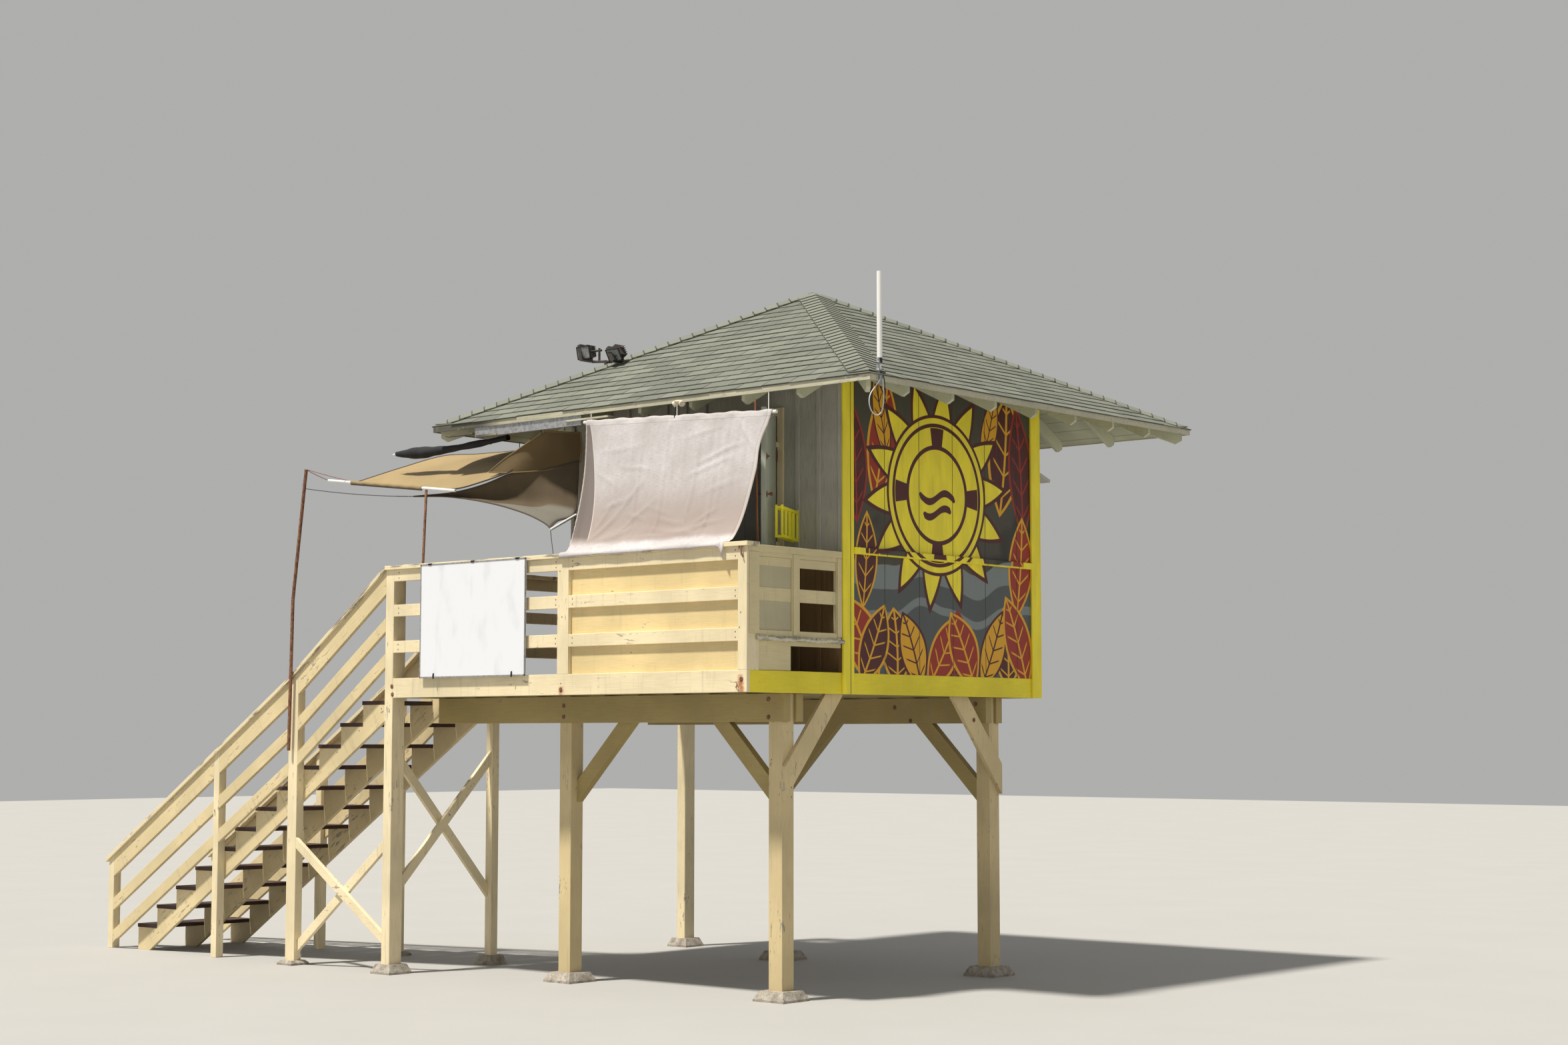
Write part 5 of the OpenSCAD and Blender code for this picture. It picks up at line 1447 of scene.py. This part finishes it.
def add_door_fittings():
    """Plates, knob, latch and butt hinges on the door, riding with it."""
    hinge, leaf, out = at(-0.758, 1.211, 0), Vector((0.559, -0.829, 0)), Vector((0.829, 0.559, 0))
    metal = []
    for z, knob in ((4.623, 0.020), (4.295, 0.048)):
        for way in (1, -1):
            place = hinge + leaf * 0.679 + out * (0.0195 * way) + up_by(z)
            wide, widest = (0.016, 0.018) if knob > 0.03 else (0.010, 0.009)
            turned = [(0.028, 0.0), (0.030, 0.003), (0.024, 0.006), (0.010, 0.008), (0.009, knob * 0.5),
                      (wide, knob * 0.7), (widest, knob), (0.008, knob + 0.004)]
            metal.append(lathe(turned, aim(place, out * way)))
    for z in (3.05, 3.85, 4.70):
        pin = hinge + leaf * 0.002 + out * 0.026 + up_by(z)
        metal.append(bar([pin - up_by(0.050), pin + up_by(0.050)], 0.006, 10))
        middle = pin + leaf * 0.024 - out * 0.005
        butt = plank((-0.022, -0.001, -0.045), (0.022, 0.0015, 0.045))
        metal.append(placed(butt, Matrix.Translation(middle) @ axes(leaf, out, up_by(1))))
    add_solid("door_fittings", metal, "bolt", body="door", slot="steel")


add_door_fittings()
cane = smooth_route([at(-0.212, 0.400, 2.766), at(-0.237, 0.400, 3.880), at(-0.263, 0.400, 5.080)], 60)
rings = [0.0115 + (0.0025 if k % 10 == 0 else 0.0) - 0.003 * k / 60 for k in range(60)]
add_solid("brown_cane", [bar(cane, rings, 10)], "cane", slot="brown_paint")


# ---- Aerial bracket and floodlights ----


def add_aerial_bracket():
    """The short pipe that carries the mast, two clamp plates with U-bolts, and its strap to the eave."""
    mast, pipe = at(0.970, 0.557, 0), at(0.985, 0.515, 0)
    parts = [bar([pipe + up_by(5.120), pipe + up_by(5.322)], 0.014, 14)]
    between = (mast + pipe) / 2
    along = (pipe - mast).normalized()
    cross = Vector((-along.y, along.x, 0))
    turn = axes(along, cross, up_by(1))
    for z in (5.225, 5.290):
        plate = plank((-0.040, 0.006, -0.013), (0.040, 0.010, 0.013))
        parts.append(placed(plate, Matrix.Translation(between + up_by(z)) @ turn))
        for centre, r in ((mast, 0.0165), (pipe, 0.0165)):
            loop = [centre + up_by(z) + along * (r * math.cos(t)) - cross * (r * math.sin(t))
                    for t in [math.pi * k / 8 for k in range(9)]]
            ends = [loop[0] + cross * 0.016, *loop, loop[-1] + cross * 0.016]
            parts.append(bar(ends, 0.003, 6))
    parts.append(deck_plank(1.0142, 1.0198, 0.490, 0.540, 5.100, 5.190))
    parts.append(deck_plank(0.985, 1.0198, 0.506, 0.522, 5.150, 5.156))
    add_solid("aerial_bracket", parts, "metal", slot="zinc")
    tape = bar([mast + up_by(5.280), mast + up_by(5.330)], 0.0238, 16)
    add_solid("aerial_collar", [tape], "black")


add_aerial_bracket()


def add_floodlight_glass():
    """Rims and glass panes on the fronts of the two lamp heads, and fins on their backs."""
    base = at(-3.162, 1.491, 5.795)
    rims, panes, fins = [], [], []
    for middle, tilt in ((Vector((-0.248, 0.0, 0.150)), 12), (Vector((0.221, -0.060, 0.092)), 30)):
        place = Matrix.Translation(base + middle) @ Matrix.Rotation(math.radians(tilt), 4, "X")
        w, h, t = 0.088, 0.064, 0.010
        for low, high in (((-w, -0.068, -h), (w, -0.058, -h + t)), ((-w, -0.068, h - t), (w, -0.058, h)),
                          ((-w, -0.068, -h), (-w + t, -0.058, h)), ((w - t, -0.068, -h), (w, -0.058, h))):
            rims.append(placed(plank(low, high), place))
        panes.append(placed(plank((-w + t, -0.064, -h + t), (w - t, -0.0595, h - t)), place))
        for k in range(5):
            z = -0.040 + k * 0.020
            fins.append(placed(plank((-0.070, 0.020, z), (0.070, 0.052, z + 0.004)), place))
    add_solid("floodlight_rims", rims, "black")
    add_solid("floodlight_panes", panes, "glass")
    add_solid("floodlight_fins", fins, "lamp")


add_floodlight_glass()


# ---- Stage and light ----


def add_stage():
    floor_mesh = mesh_of("studio_floor", [(-60, -60, 0), (60, -60, 0), (60, 60, 0), (-60, 60, 0)], [(0, 1, 2, 3)])
    floor = in_scene("studio_floor", floor_mesh)
    f = Finish("pale_floor")
    dust = f.noise(0.8, detail=3.0)
    f.base = f.blend(dust, (0.37, 0.365, 0.35), (0.40, 0.395, 0.38))
    floor_mesh.materials.append(f.finish(0.9))
    bpy.context.scene.view_settings.view_transform = "Standard"
    world = bpy.data.worlds.new("studio")
    bpy.context.scene.world = world
    world.use_nodes = True
    world.node_tree.nodes["Background"].inputs[0].default_value = (0.97, 0.97, 0.96, 1.0)
    world.node_tree.nodes["Background"].inputs[1].default_value = 0.44
    sun = bpy.data.lights.new("key", "SUN")
    sun.energy = 5.3
    sun.angle = math.radians(4)
    sun.color = (1.0, 0.95, 0.87)
    key = in_scene("key", sun)
    key.rotation_euler = Vector((0.12, 0.40, -0.91)).to_track_quat("-Z", "Y").to_euler()


add_stage()
